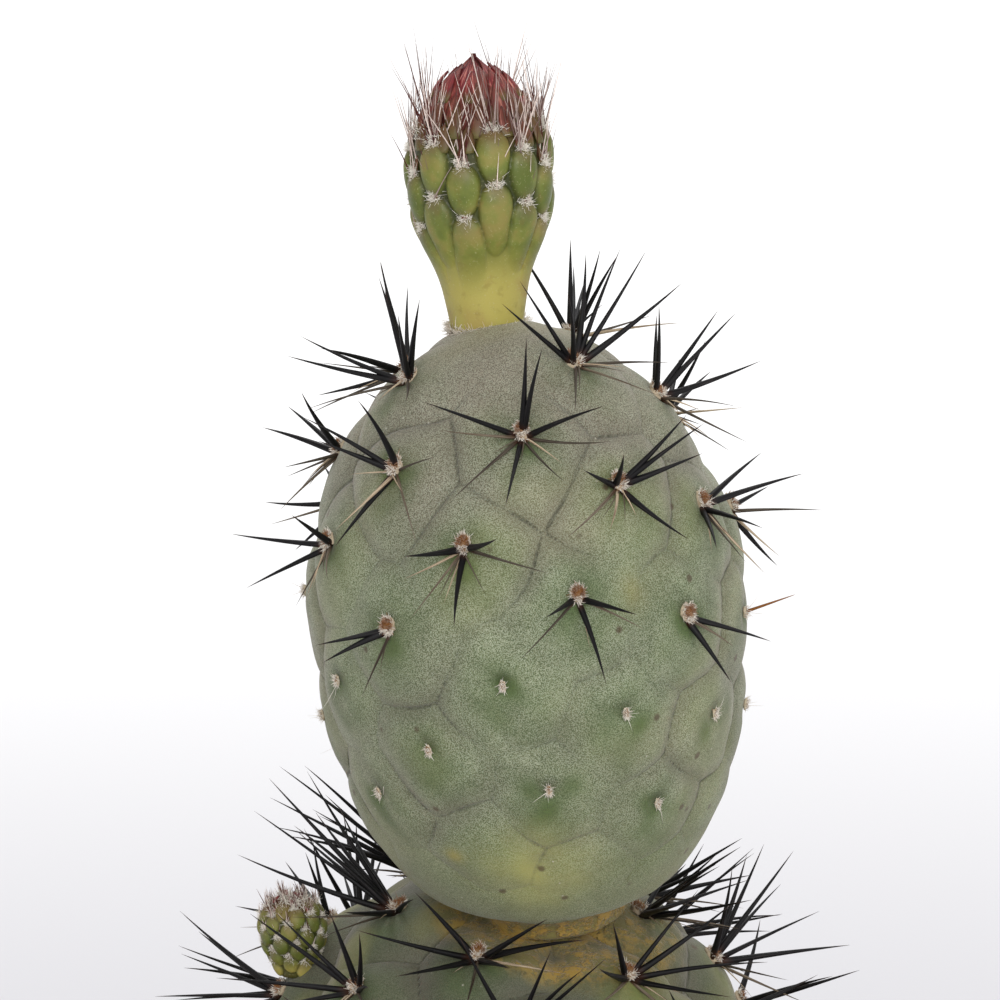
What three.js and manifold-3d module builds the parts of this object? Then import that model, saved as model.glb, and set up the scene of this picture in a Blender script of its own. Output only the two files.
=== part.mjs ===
// A potted segmented cactus: a clay pot of gritty soil, a round lower stem joint, an egg-shaped upper
// joint leaning out of it on a corky neck, spiny areoles along a golden-angle spiral, a flower bud on
// the top and a young side bud low on the left. Millimetres, +Z up, origin under the middle of the pot.
import * as THREE from "three";
import { mergeVertices } from "three/addons/utils/BufferGeometryUtils.js";
import Module from "manifold-3d";

const wasm = await Module();
wasm.setup();

// ---- driving dimensions ----
const GAP = 0.3; // clearance between pieces that touch

const pot = {
  height: 104,
  rimRadius: 60,
  rimHeight: 22,
  rimStep: 3,
  shoulderRadius: 55,
  footRadius: 41,
  wall: 5,
  floor: 6,
  drainRadius: 6,
  lip: 1.5,
  segments: 48,
};
pot.rimFoot = pot.height - pot.rimHeight;
pot.innerTop = pot.rimRadius - pot.wall;
pot.innerLedge = pot.innerTop - 2;
pot.innerFoot = pot.footRadius - pot.wall + 0.5;

const soil = { top: 93, mound: 1.5, arch: 3, archRadius: 12 };

// A joint is an egg round its widest ring: its lengths from there to its tip and to its base, and powers
// that say how full each end is. cut is where the base is cut flat. Its areoles follow a spiral: each one
// turns by divergence and steps down towards the base.
const lower = {
  centre: new THREE.Vector3(0, 6, 113.5),
  leanForward: 0,
  leanLeft: 0,
  radius: 33,
  topLength: 29,
  baseLength: 31,
  topPower: 2,
  basePower: 2.2,
  cut: -30.5,
  spiral: { start: 164, divergence: 136.5, top: 26, step: 1, easing: 0 },
  spiny: [0, 20],
};

const upper = {
  centre: new THREE.Vector3(),
  leanForward: 11.3,
  leanLeft: 4.85,
  radius: 28.4,
  topLength: 35.1,
  baseLength: 50.3,
  topPower: 1.63,
  basePower: 2.42,
  cut: -44.2,
  spiral: { start: 5.5, divergence: -137.74, top: 27.67, step: 1.497, easing: 0.0055 },
  spiny: [-3, 18],
};

const neck = { azimuth: 36.7, height: 27.6, above: 0.5, radius: 10.4, length: 2.5 };

// The flower bud stands on the spiral's first areole: a green tube with a cup in its top, and the closed
// flower in the cup. sink is how far a bud's foot starts below the skin before it is trimmed to it.
const flowerBud = { areole: -4, leanLeft: 2.8, sink: 2, baseRadius: 5.3, radius: 9.5, height: 35.3 };
const cup = { rim: 28, floor: 22, radius: 6.3, lip: 0.6 };
const tepal = { count: 5, slit: 0.35, thickness: 0.8, radius: 5.95 };

// The side bud grows just above one areole of the lower joint, lifted off the skin.
const sideBud = { areole: 14, lift: 35, above: 4.4, sink: 1.5, radius: 4.8, height: 11.4 };

const pad = { radius: 1.6, height: 1.1, sides: 6 };
const spine = { stout: 0.5, thin: 0.3, sides: 4, off: 0.8, aboveSoil: 3, turnAside: 9, tries: 4 };

// The spines of one areole, by its place on the spiral, youngest first: clock angle seen from outside
// (0 towards the joint's tip), lift off the skin, length and kind. An areole between two entries takes
// the fan of the younger one, every second time mirrored.
const STOUT = "stout";
const THIN = "thin";

upper.fans = [
  {
    from: -3,
    fan: [
      [-46, 28, 15, STOUT], [-37, 40, 15, STOUT], [-64, 60, 14, STOUT], [48, 36, 14, STOUT],
      [68, 38, 16, STOUT], [82, 42, 17, STOUT], [108, 36, 17, STOUT], [-165, 22, 15, THIN],
      [-116, 14, 17, THIN], [150, 20, 12, THIN],
    ],
  },
  {
    from: -2,
    fan: [
      [-60, 38, 14, STOUT], [50, 48, 13, STOUT], [34, 40, 14, STOUT], [-10, 60, 12, STOUT],
      [-130, 44, 15, STOUT], [-142, 38, 16, STOUT], [166, 30, 14, THIN], [92, 14, 16, THIN],
    ],
  },
  {
    from: 0,
    fan: [
      [10, 56, 14, STOUT], [28, 62, 14, STOUT], [-76, 26, 14, STOUT], [92, 44, 14, STOUT],
      [-162, 24, 14, STOUT], [116, 26, 13, THIN], [-96, 30, 12, THIN], [-132, 12, 14, THIN],
      [158, 28, 12, THIN],
    ],
  },
  {
    from: 2,
    fan: [
      [-20, 40, 14, STOUT], [88, 52, 14, STOUT], [100, 56, 15, STOUT], [140, 45, 15, STOUT],
      [40, 34, 10, STOUT], [-116, 36, 14, THIN], [-144, 22, 14, THIN],
    ],
  },
  {
    from: 3,
    fan: [
      [14, 62, 13, STOUT], [-80, 34, 13, STOUT], [-92, 40, 10, STOUT], [180, 20, 13, STOUT],
      [168, 36, 13, THIN], [124, 13, 15, THIN], [74, 18, 11, THIN],
    ],
  },
  {
    from: 5,
    fan: [
      [-70, 32, 10, STOUT], [-50, 62, 9, STOUT], [62, 34, 12, STOUT], [74, 40, 13, STOUT],
      [94, 36, 11, STOUT], [168, 30, 12, STOUT], [-108, 13, 14, THIN], [-126, 26, 10, THIN],
    ],
  },
  {
    from: 6,
    fan: [
      [-128, 48, 13, STOUT], [-104, 38, 13, STOUT], [36, 36, 12, STOUT], [92, 24, 12, THIN],
      [-150, 20, 12, THIN], [165, 15, 11, THIN],
    ],
  },
  {
    from: 8,
    fan: [
      [-108, 58, 10, STOUT], [82, 48, 10, STOUT], [174, 30, 12, STOUT], [-130, 46, 10, THIN],
      [104, 13, 13, THIN], [-152, 24, 12, THIN],
    ],
  },
  {
    from: 10,
    fan: [
      [108, 40, 14, STOUT], [-118, 50, 12, STOUT], [-106, 20, 12, STOUT], [88, 16, 13, STOUT],
      [-130, 28, 12, THIN], [178, 14, 12, THIN],
    ],
  },
  {
    from: 11,
    fan: [
      [-110, 44, 13, STOUT], [50, 46, 11, STOUT], [-154, 36, 12, STOUT], [98, 16, 11, THIN],
      [170, 15, 9, THIN],
    ],
  },
  {
    from: 13,
    fan: [
      [-98, 46, 9, STOUT], [116, 56, 10, STOUT], [178, 26, 12, STOUT], [-122, 16, 12, THIN],
      [128, 40, 10, THIN],
    ],
  },
  {
    from: 15,
    fan: [[-118, 60, 12, THIN], [170, 14, 12, STOUT], [-150, 20, 9, THIN], [110, 38, 9, STOUT]],
  },
  {
    from: 16,
    fan: [[-110, 36, 9, STOUT], [-128, 32, 9, STOUT], [168, 40, 10, THIN]],
  },
  {
    from: 18,
    fan: [[128, 34, 11, STOUT], [175, 25, 10, STOUT], [148, 28, 7, THIN]],
  },
];

lower.fans = [
  {
    from: 0,
    fan: [
      [-90, 45, 18, STOUT], [-60, 35, 16, STOUT], [-120, 40, 18, STOUT], [90, 42, 18, STOUT],
      [120, 36, 17, STOUT], [60, 30, 14, STOUT], [-160, 30, 15, STOUT], [165, 25, 14, THIN],
      [-135, 16, 13, THIN],
    ],
  },
  {
    from: 1,
    fan: [
      [-80, 48, 22, STOUT], [-99, 50, 24, STOUT], [-111, 42, 23, STOUT], [-132, 36, 22, STOUT],
      [-94, 24, 20, STOUT], [-73, 26, 19, STOUT], [-86, 36, 18, STOUT], [-120, 56, 17, STOUT],
      [88, 24, 12, STOUT], [140, 32, 15, STOUT], [-160, 22, 14, THIN], [172, 16, 13, THIN],
    ],
  },
  {
    from: 4,
    fan: [
      [20, 60, 10, STOUT], [94, 46, 16, STOUT], [76, 20, 16, STOUT], [-102, 28, 17, STOUT],
      [-60, 46, 12, STOUT], [-142, 32, 16, STOUT], [145, 40, 15, STOUT], [112, 14, 15, THIN],
      [178, 18, 14, THIN],
    ],
  },
  {
    from: 7,
    fan: [
      [-50, 50, 11, STOUT], [120, 34, 18, STOUT], [-100, 34, 14, STOUT], [5, 58, 11, STOUT],
      [60, 44, 14, STOUT], [80, 34, 17, STOUT], [155, 38, 15, STOUT], [-114, 18, 15, THIN],
      [172, 18, 14, THIN],
    ],
  },
  {
    from: 10,
    fan: [
      [62, 44, 18, STOUT], [66, 60, 18, STOUT], [150, 48, 19, STOUT], [-36, 38, 16, STOUT],
      [92, 36, 18, STOUT], [118, 46, 18, STOUT], [30, 50, 14, STOUT], [-112, 28, 16, THIN],
      [180, 24, 14, THIN],
    ],
  },
  {
    from: 14,
    fan: [
      [-142, 46, 18, STOUT], [-80, 56, 18, STOUT], [-84, 36, 18, STOUT], [-108, 40, 18, STOUT],
      [58, 30, 14, STOUT], [120, 26, 16, STOUT], [-160, 20, 14, THIN], [150, 16, 12, THIN],
    ],
  },
];

const colours = {
  pot: 0xb5654a,
  soil: 0x4a3a2e,
  skin: 0x7f9478,
  lowerSkin: 0x7a8a70,
  spines: 0x1f1d1f,
  budTube: 0x8a9440,
  tepal: 0xa8434f,
  innerTepal: 0xc0606a,
  sideBud: 0x7d8450,
};

// ---- solids ----
const radians = THREE.MathUtils.degToRad;

function toSolid(geometry) {
  const bare = geometry.index ? geometry.clone() : geometry;
  bare.deleteAttribute("normal");
  bare.deleteAttribute("uv");
  const merged = mergeVertices(bare, 1e-4);
  return new wasm.Manifold(new wasm.Mesh({
    numProp: 3,
    vertProperties: new Float32Array(merged.attributes.position.array),
    triVerts: new Uint32Array(merged.index.array),
  }));
}

function toGeometry(solid) {
  const mesh = solid.getMesh();
  const geometry = new THREE.BufferGeometry();
  geometry.setAttribute("position", new THREE.BufferAttribute(mesh.vertProperties, 3));
  geometry.setIndex(new THREE.BufferAttribute(mesh.triVerts, 1));
  return geometry;
}

// A turned solid about Z from [radius, height] points, given from the bottom up the outside.
function turned(points, segments) {
  const profile = points.map(([radius, height]) => new THREE.Vector2(radius, height));
  const geometry = new THREE.LatheGeometry(profile, segments);
  geometry.rotateX(Math.PI / 2);
  return geometry;
}

// ---- joints ----
function jointRadius(joint, height) {
  const [length, power] = height > 0
    ? [joint.topLength, joint.topPower]
    : [joint.baseLength, joint.basePower];
  const t = Math.min(1, Math.abs(height) / length);
  return joint.radius * Math.sqrt(1 - t ** power);
}

function jointMatrix(joint) {
  const turn = new THREE.Euler(radians(joint.leanForward), -radians(joint.leanLeft), 0, "YXZ");
  return new THREE.Matrix4().makeRotationFromEuler(turn).setPosition(joint.centre);
}

// A point of the skin with its outward normal, the direction towards the joint's tip and the
// direction to the right seen from outside, all in the object's frame.
function skinFrame(joint, azimuth, height) {
  const step = 0.05;
  const turn = radians(azimuth);
  const outward = new THREE.Vector3(Math.sin(turn), -Math.cos(turn), 0);
  const axis = new THREE.Vector3(0, 0, 1);
  const slope = (jointRadius(joint, height + step) - jointRadius(joint, height - step)) / (2 * step);
  const matrix = jointMatrix(joint);
  return {
    point: outward.clone().multiplyScalar(jointRadius(joint, height))
      .addScaledVector(axis, height).applyMatrix4(matrix),
    normal: outward.clone().addScaledVector(axis, -slope).transformDirection(matrix),
    tipward: axis.clone().addScaledVector(outward, slope).transformDirection(matrix),
    right: new THREE.Vector3(Math.cos(turn), Math.sin(turn), 0).transformDirection(matrix),
  };
}

function areoleFrame(joint, index) {
  const { start, divergence, top, step, easing } = joint.spiral;
  const azimuth = start + divergence * index;
  return skinFrame(joint, azimuth, top - step * index + easing * index * index);
}

// The egg's outline, grown outwards by grow, from its cut base to its tip.
function eggOutline(joint, grow, rows = 18) {
  const outline = [[0, joint.cut - grow]];
  const low = Math.asin(joint.cut / joint.baseLength);
  for (let row = 0; row < rows; row += 1) {
    const angle = low + ((Math.PI / 2 - low) * row) / rows;
    const height = Math.sin(angle) * (angle > 0 ? joint.topLength : joint.baseLength);
    outline.push([jointRadius(joint, height) + grow, height - (row === 0 ? grow : 0)]);
  }
  outline.push([0, joint.topLength + grow]);
  return outline;
}

function eggSolid(joint, grow = 0) {
  return toSolid(turned(eggOutline(joint, grow), 40)).transform(jointMatrix(joint).elements);
}

// The corky neck under the upper joint.
function neckSolid(grow = 0) {
  const outline = [
    [0, upper.cut - neck.length - grow],
    [neck.radius + grow, upper.cut - neck.length - grow],
    [neck.radius + grow, upper.cut + 1],
    [0, upper.cut + 1],
  ];
  return toSolid(turned(outline, 40)).transform(jointMatrix(upper).elements);
}

// The upper joint stands on the neck's place on the lower joint's skin.
function placeUpperJoint() {
  const seat = skinFrame(lower, neck.azimuth, neck.height);
  const axis = new THREE.Vector3(0, 0, 1).transformDirection(jointMatrix(upper));
  upper.centre.copy(seat.point).addScaledVector(axis, neck.above - upper.cut);
}

// ---- pot and soil ----
function potGeometry() {
  return turned([
    [pot.drainRadius, 0],
    [pot.footRadius - 1, 0],
    [pot.footRadius, 1],
    [pot.shoulderRadius, pot.rimFoot],
    [pot.rimRadius - 1, pot.rimFoot + 0.6],
    [pot.rimRadius, pot.rimFoot + pot.rimStep],
    [pot.rimRadius, pot.height - pot.lip],
    [pot.rimRadius - pot.lip, pot.height],
    [pot.innerTop + pot.lip, pot.height],
    [pot.innerTop, pot.height - pot.lip],
    [pot.innerLedge, pot.rimFoot],
    [pot.innerFoot, pot.floor],
    [pot.drainRadius, pot.floor],
    [pot.drainRadius, 0],
  ], pot.segments);
}

// The pot's inner radius at a height above its floor.
function potInside(height) {
  const [low, lowRadius, high, highRadius] = height > pot.rimFoot
    ? [pot.rimFoot, pot.innerLedge, pot.height - pot.lip, pot.innerTop]
    : [pot.floor, pot.innerFoot, pot.rimFoot, pot.innerLedge];
  return THREE.MathUtils.mapLinear(height, low, high, lowRadius, highRadius);
}

// The root ball of gritty mix: it fills the pot, is arched over the drain hole, has a slight mound on
// top, and leaves a socket for the buried part of the lower joint.
function soilSolid() {
  const bottom = pot.floor + GAP;
  const edge = (height) => potInside(height) - GAP;
  const body = toSolid(turned([
    [0, bottom + soil.arch],
    [soil.archRadius / 2, bottom + soil.arch],
    [soil.archRadius, bottom],
    [edge(bottom), bottom],
    [edge(pot.rimFoot), pot.rimFoot],
    [edge(soil.top), soil.top - 1],
    [edge(soil.top) - 3, soil.top],
    [edge(soil.top) / 2, soil.top + soil.mound],
    [0, soil.top + soil.mound],
  ], pot.segments));
  return body.subtract(eggSolid(lower, GAP));
}

// ---- buds ----
function budMatrix(point, axis, sink) {
  const turn = new THREE.Quaternion().setFromUnitVectors(new THREE.Vector3(0, 0, 1), axis);
  const foot = point.clone().addScaledVector(axis, -sink);
  return new THREE.Matrix4().makeRotationFromQuaternion(turn).setPosition(foot);
}

function flowerBudMatrix() {
  const lean = radians(flowerBud.leanLeft);
  const axis = new THREE.Vector3(-Math.sin(lean), 0, Math.cos(lean));
  return budMatrix(areoleFrame(upper, flowerBud.areole).point, axis, 0);
}

function budTubeSolid() {
  const { baseRadius, radius, sink } = flowerBud;
  const body = toSolid(turned([
    [0, -sink],
    [baseRadius - 0.4, -sink],
    [baseRadius, 2],
    [baseRadius + 0.5, 6],
    [radius * 0.78, 10],
    [radius * 0.95, 15],
    [radius, 20],
    [radius * 0.98, 24],
    [radius * 0.86, cup.rim - cup.lip],
    [cup.radius + cup.lip, cup.rim],
    [cup.radius, cup.rim - cup.lip],
    [cup.radius, cup.floor],
    [0, cup.floor],
  ], 24)).transform(flowerBudMatrix().elements);
  return body.subtract(eggSolid(upper, GAP));
}

// The outline of the closed flower from its foot in the cup to its tip, drawn in by inset.
function flowerOutline(inset) {
  const foot = cup.floor + GAP;
  const { radius } = tepal;
  return [
    [radius - 0.3 - inset, foot],
    [radius - inset, foot + 4],
    [radius * 0.92 - inset, foot + 7],
    [radius * 0.66 - inset, foot + 10],
    [Math.max(1.9 - inset, 0.6), foot + 12],
  ];
}

// One outer tepal: a sector of the flower's shell, closed all round.
function tepalSolid(index) {
  const outside = flowerOutline(0);
  const inside = flowerOutline(tepal.thickness).reverse();
  const shell = toSolid(turned([...outside, ...inside, outside[0]], 20));
  const half = Math.PI / tepal.count;
  const reach = tepal.radius * 2;
  const wedge = new THREE.Shape([
    new THREE.Vector2(0, 0),
    new THREE.Vector2(reach * Math.cos(half), -reach * Math.sin(half)),
    new THREE.Vector2(reach * Math.cos(half), reach * Math.sin(half)),
  ]);
  const cutter = new THREE.ExtrudeGeometry(wedge, { depth: 40, bevelEnabled: false });
  cutter.translate(tepal.slit, 0, 0);
  cutter.rotateZ(2 * half * index);
  return shell.intersect(toSolid(cutter)).transform(flowerBudMatrix().elements);
}

function innerTepalsSolid() {
  const foot = cup.floor + GAP;
  const outline = flowerOutline(tepal.thickness + GAP);
  outline[outline.length - 1][0] = 0.7;
  outline[outline.length - 1][1] = foot + 11;
  const profile = [[0, foot], ...outline, [0.35, flowerBud.height - 0.6], [0, flowerBud.height]];
  return toSolid(turned(profile, 16)).transform(flowerBudMatrix().elements);
}

function sideBudMatrix() {
  const areole = areoleFrame(lower, sideBud.areole);
  const lift = radians(sideBud.lift);
  const axis = areole.normal.clone().multiplyScalar(Math.sin(lift))
    .addScaledVector(areole.tipward, Math.cos(lift)).normalize();
  const place = areole.point.clone().addScaledVector(areole.tipward, sideBud.above);
  return budMatrix(place, axis, sideBud.sink);
}

function sideBudSolid() {
  const { radius, height } = sideBud;
  const body = toSolid(turned([
    [0, 0],
    [radius * 0.55, 0],
    [radius * 0.65, 2],
    [radius * 0.93, 4],
    [radius, 6.5],
    [radius * 0.88, 9],
    [radius * 0.5, height - 0.7],
    [0, height],
  ], 20)).transform(sideBudMatrix().elements);
  return body.subtract(eggSolid(lower, GAP));
}

// ---- spines ----
// Tests for what a spine has to stay clear of.
function insideJoint(joint, point, margin) {
  const local = point.clone().applyMatrix4(jointMatrix(joint).invert());
  const within = local.z > joint.cut - margin && local.z < joint.topLength + margin;
  return within && Math.hypot(local.x, local.y) < jointRadius(joint, local.z) + margin;
}

function insideBud(matrix, bud, point, margin) {
  const local = point.clone().applyMatrix4(matrix.clone().invert());
  return local.z < bud.height + margin && local.z > -margin
    && Math.hypot(local.x, local.y) < bud.radius + margin;
}

function insideNeck(point, margin) {
  const local = point.clone().applyMatrix4(jointMatrix(upper).invert());
  return Math.abs(local.z - upper.cut) < neck.length + margin
    && Math.hypot(local.x, local.y) < neck.radius + margin;
}

// The smallest gap between the surfaces of two spines, each a cone from its foot to its tip.
function spineGap(first, second) {
  let nearest = Infinity;
  const near = new THREE.Vector3();
  const line = new THREE.Line3(second.foot, second.tip);
  for (let t = 0; t <= 1; t += 0.05) {
    const point = first.foot.clone().lerp(first.tip, t);
    const along = line.closestPointToPointParameter(point, true);
    const thickness = spine[first.kind] * (1 - t) + spine[second.kind] * (1 - along);
    nearest = Math.min(nearest, line.at(along, near).distanceTo(point) - thickness);
  }
  return nearest;
}

const grownSpines = [];

function isBlocked(point) {
  const { off } = spine;
  return insideJoint(upper, point, off)
    || insideJoint(lower, point, off)
    || insideNeck(point, off)
    || insideBud(flowerBudMatrix(), flowerBud, point, off)
    || insideBud(sideBudMatrix(), sideBud, point, off)
    || point.z < soil.top + spine.aboveSoil;
}

function isClear(candidate) {
  for (let t = 0.25; t <= 1; t += 0.125) {
    if (isBlocked(candidate.foot.clone().lerp(candidate.tip, t))) {
      return false;
    }
  }
  return grownSpines.every((other) => other.cluster === candidate.cluster
    || spineGap(candidate, other) > GAP);
}

function fanFor(joint, index) {
  const entry = joint.fans.filter(({ from }) => from <= index).pop();
  const side = entry.from === index || index % 2 === 0 ? 1 : -1;
  return entry.fan.map(([clock, lift, length, kind]) => ({ clock: side * clock, lift, length, kind }));
}

function spineDirection(frame, clock, lift) {
  const around = radians(clock);
  const up = radians(lift);
  return frame.right.clone().multiplyScalar(Math.sin(around))
    .addScaledVector(frame.tipward, Math.cos(around))
    .multiplyScalar(Math.cos(up))
    .addScaledVector(frame.normal, Math.sin(up))
    .normalize();
}

function spineSolid({ foot, tip, kind }) {
  const length = foot.distanceTo(tip);
  const cone = new THREE.ConeGeometry(spine[kind], length, spine.sides);
  cone.translate(0, length / 2, 0);
  const axis = tip.clone().sub(foot).normalize();
  cone.applyQuaternion(new THREE.Quaternion().setFromUnitVectors(new THREE.Vector3(0, 1, 0), axis));
  cone.translate(foot.x, foot.y, foot.z);
  return toSolid(cone);
}

function padSolid(frame) {
  const dome = turned([
    [0, 0],
    [pad.radius, 0],
    [pad.radius * 0.8, pad.height * 0.65],
    [0, pad.height],
  ], pad.sides);
  const turn = new THREE.Quaternion().setFromUnitVectors(new THREE.Vector3(0, 0, 1), frame.normal);
  dome.applyQuaternion(turn);
  const foot = frame.point.clone().addScaledVector(frame.normal, GAP);
  dome.translate(foot.x, foot.y, foot.z);
  return toSolid(dome);
}

// How far a spine is turned aside on its n-th try: none, then a step each way, then two.
function asideOf(attempt) {
  return Math.ceil(attempt / 2) * (attempt % 2 === 0 ? -1 : 1) * spine.turnAside;
}

// One areole: its pad with its fan of spines. A spine that would touch something turns aside, or is
// left out when that doesn't help.
function clusterSolid(joint, index) {
  const frame = areoleFrame(joint, index);
  const cluster = `${joint === upper ? "upper" : "lower"} ${index}`;
  const foot = frame.point.clone().addScaledVector(frame.normal, GAP + spine.stout + 0.1);
  let solid = padSolid(frame);
  for (const { clock, lift, length, kind } of fanFor(joint, index)) {
    for (let attempt = 0; attempt <= spine.tries; attempt += 1) {
      const direction = spineDirection(frame, clock + asideOf(attempt), lift);
      const candidate = { cluster, foot, tip: foot.clone().addScaledVector(direction, length), kind };
      if (isClear(candidate)) {
        grownSpines.push(candidate);
        solid = solid.add(spineSolid(candidate));
        break;
      }
    }
  }
  return solid;
}

function coveredByNeck(index) {
  return insideNeck(areoleFrame(lower, index).point, 1.5);
}

// ---- the object ----
const cactus = new THREE.Group();

function addPiece(name, shape, colour, roughness) {
  const geometry = shape.isBufferGeometry ? shape : toGeometry(shape);
  const material = new THREE.MeshStandardMaterial({ color: colour, roughness, metalness: 0 });
  const mesh = new THREE.Mesh(geometry, material);
  mesh.name = name;
  cactus.add(mesh);
}

placeUpperJoint();

addPiece("pot", potGeometry(), colours.pot, 0.85);
addPiece("potting_mix", soilSolid(), colours.soil, 1);
addPiece("upper_joint", eggSolid(upper).add(neckSolid()), colours.skin, 0.75);
addPiece(
  "lower_joint",
  eggSolid(lower).subtract(neckSolid(GAP)).subtract(eggSolid(upper, GAP)),
  colours.lowerSkin,
  0.75,
);
addPiece("flower_bud_tube", budTubeSolid(), colours.budTube, 0.5);
addPiece("inner_tepals", innerTepalsSolid(), colours.innerTepal, 0.45);
for (let index = 0; index < tepal.count; index += 1) {
  addPiece(`outer_tepal_${index + 1}`, tepalSolid(index), colours.tepal, 0.45);
}
addPiece("side_bud", sideBudSolid(), colours.sideBud, 0.55);

function addClusters(joint, prefix) {
  const [first, last] = joint.spiny;
  let number = 1;
  for (let index = first; index <= last; index += 1) {
    if (joint === lower && coveredByNeck(index)) {
      continue;
    }
    const name = `${prefix}_${String(number).padStart(2, "0")}`;
    addPiece(name, clusterSolid(joint, index), colours.spines, 0.5);
    number += 1;
  }
}

addClusters(upper, "upper_spines");
addClusters(lower, "lower_spines");

export default cactus;
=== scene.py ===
"""The looks of a potted segmented cactus. Shapes are worked out in millimetres and stored in metres."""
import math

import bmesh
import bpy
import numpy as np
from mathutils import Matrix, Vector


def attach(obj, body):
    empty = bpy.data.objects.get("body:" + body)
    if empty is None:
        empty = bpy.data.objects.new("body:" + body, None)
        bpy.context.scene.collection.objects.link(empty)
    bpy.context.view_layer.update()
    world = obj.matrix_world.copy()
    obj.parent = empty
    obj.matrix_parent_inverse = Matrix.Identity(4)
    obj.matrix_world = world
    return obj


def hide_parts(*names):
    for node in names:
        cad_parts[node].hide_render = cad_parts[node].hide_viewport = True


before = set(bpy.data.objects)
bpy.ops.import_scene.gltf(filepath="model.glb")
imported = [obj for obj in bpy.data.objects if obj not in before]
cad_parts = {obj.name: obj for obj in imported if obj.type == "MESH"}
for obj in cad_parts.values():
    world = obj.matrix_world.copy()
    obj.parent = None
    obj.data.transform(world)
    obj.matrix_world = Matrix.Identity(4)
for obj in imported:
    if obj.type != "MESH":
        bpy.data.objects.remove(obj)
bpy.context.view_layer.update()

MM = 0.001
GAP = 0.3

# ---- the plant's dimensions, the same as the CAD model's ----
POT = dict(height=104, rim_radius=60, rim_height=22, shoulder=55, foot=41, wall=5, floor=6, drain=6)
SOIL_TOP = 93.0
NECK = dict(azimuth=36.7, height=27.6, above=0.5, radius=10.4, length=2.5)
BUD = dict(areole=-4, left=2.8, radius=9.5, height=35.3)
SIDE = dict(areole=14, lift=35.0, above=4.4, sink=1.5, radius=4.8, height=11.4)
SPINE = dict(turn_aside=9.0, tries=4, stout=0.5, thin=0.3, off=0.8, above_soil=3.0)

# The last row is the visual model's own: how round the tubercles are, how deep the furrows, how far the
# tubercles' middles lie below their areoles, the first and last areole on the skin, the last one above
# the soil, and the seed of what grows on the joint.
LOWER = dict(name="lower", centre=np.array([0.0, 6.0, 113.5]), forward=0.0, left=0.0, radius=33.0,
             top_length=29.0, base_length=31.0, top_power=2.0, base_power=2.2, cut=-30.5,
             start=164.0, divergence=136.5, top=26.0, step=1.0, easing=0.0, spiny=(0, 20),
             bulge=1.3, depth=0.7, seed_shift=1.6, first=0, last=44, last_above_soil=30, seed=6)
UPPER = dict(name="upper", centre=np.zeros(3), forward=11.3, left=4.85, radius=28.4,
             top_length=35.1, base_length=50.3, top_power=1.63, base_power=2.42, cut=-44.2,
             start=5.5, divergence=-137.74, top=27.67, step=1.497, easing=0.0055, spiny=(-3, 18),
             bulge=0.66, depth=0.5, seed_shift=2.0, first=-4, last=41, last_above_soil=41, seed=5)
SKIN_SWELL = 0.35
SKIN_ROWS, SKIN_COLUMNS = 290, 340
LONE_SPINE = 23  # the bare areole on the right that still has a reddish spine
GRAINS = 2300


def stout(*spines):
    return [(*spine, "stout") for spine in spines]


def thin(*spines):
    return [(*spine, "thin") for spine in spines]


# Each fan's spines as clock angle, lift off the skin and length, by the youngest areole that has it.
UPPER["fans"] = {
    -3: stout((-46, 28, 15), (-37, 40, 15), (-64, 60, 14), (48, 36, 14), (68, 38, 16), (82, 42, 17),
              (108, 36, 17)) + thin((-165, 22, 15), (-116, 14, 17), (150, 20, 12)),
    -2: stout((-60, 38, 14), (50, 48, 13), (34, 40, 14), (-10, 60, 12), (-130, 44, 15), (-142, 38, 16))
        + thin((166, 30, 14), (92, 14, 16)),
    0: stout((10, 56, 14), (28, 62, 14), (-76, 26, 14), (92, 44, 14), (-162, 24, 14))
       + thin((116, 26, 13), (-96, 30, 12), (-132, 12, 14), (158, 28, 12)),
    2: stout((-20, 40, 14), (88, 52, 14), (100, 56, 15), (140, 45, 15), (40, 34, 10))
       + thin((-116, 36, 14), (-144, 22, 14)),
    3: stout((14, 62, 13), (-80, 34, 13), (-92, 40, 10), (180, 20, 13))
       + thin((168, 36, 13), (124, 13, 15), (74, 18, 11)),
    5: stout((-70, 32, 10), (-50, 62, 9), (62, 34, 12), (74, 40, 13), (94, 36, 11), (168, 30, 12))
       + thin((-108, 13, 14), (-126, 26, 10)),
    6: stout((-128, 48, 13), (-104, 38, 13), (36, 36, 12))
       + thin((92, 24, 12), (-150, 20, 12), (165, 15, 11)),
    8: stout((-108, 58, 10), (82, 48, 10), (174, 30, 12))
       + thin((-130, 46, 10), (104, 13, 13), (-152, 24, 12)),
    10: stout((108, 40, 14), (-118, 50, 12), (-106, 20, 12), (88, 16, 13))
        + thin((-130, 28, 12), (178, 14, 12)),
    11: stout((-110, 44, 13), (50, 46, 11), (-154, 36, 12)) + thin((98, 16, 11), (170, 15, 9)),
    13: stout((-98, 46, 9), (116, 56, 10), (178, 26, 12)) + thin((-122, 16, 12), (128, 40, 10)),
    15: thin((-118, 60, 12)) + stout((170, 14, 12)) + thin((-150, 20, 9)) + stout((110, 38, 9)),
    16: stout((-110, 36, 9), (-128, 32, 9)) + thin((168, 40, 10)),
    18: stout((128, 34, 11), (175, 25, 10)) + thin((148, 28, 7)),
}
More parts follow.
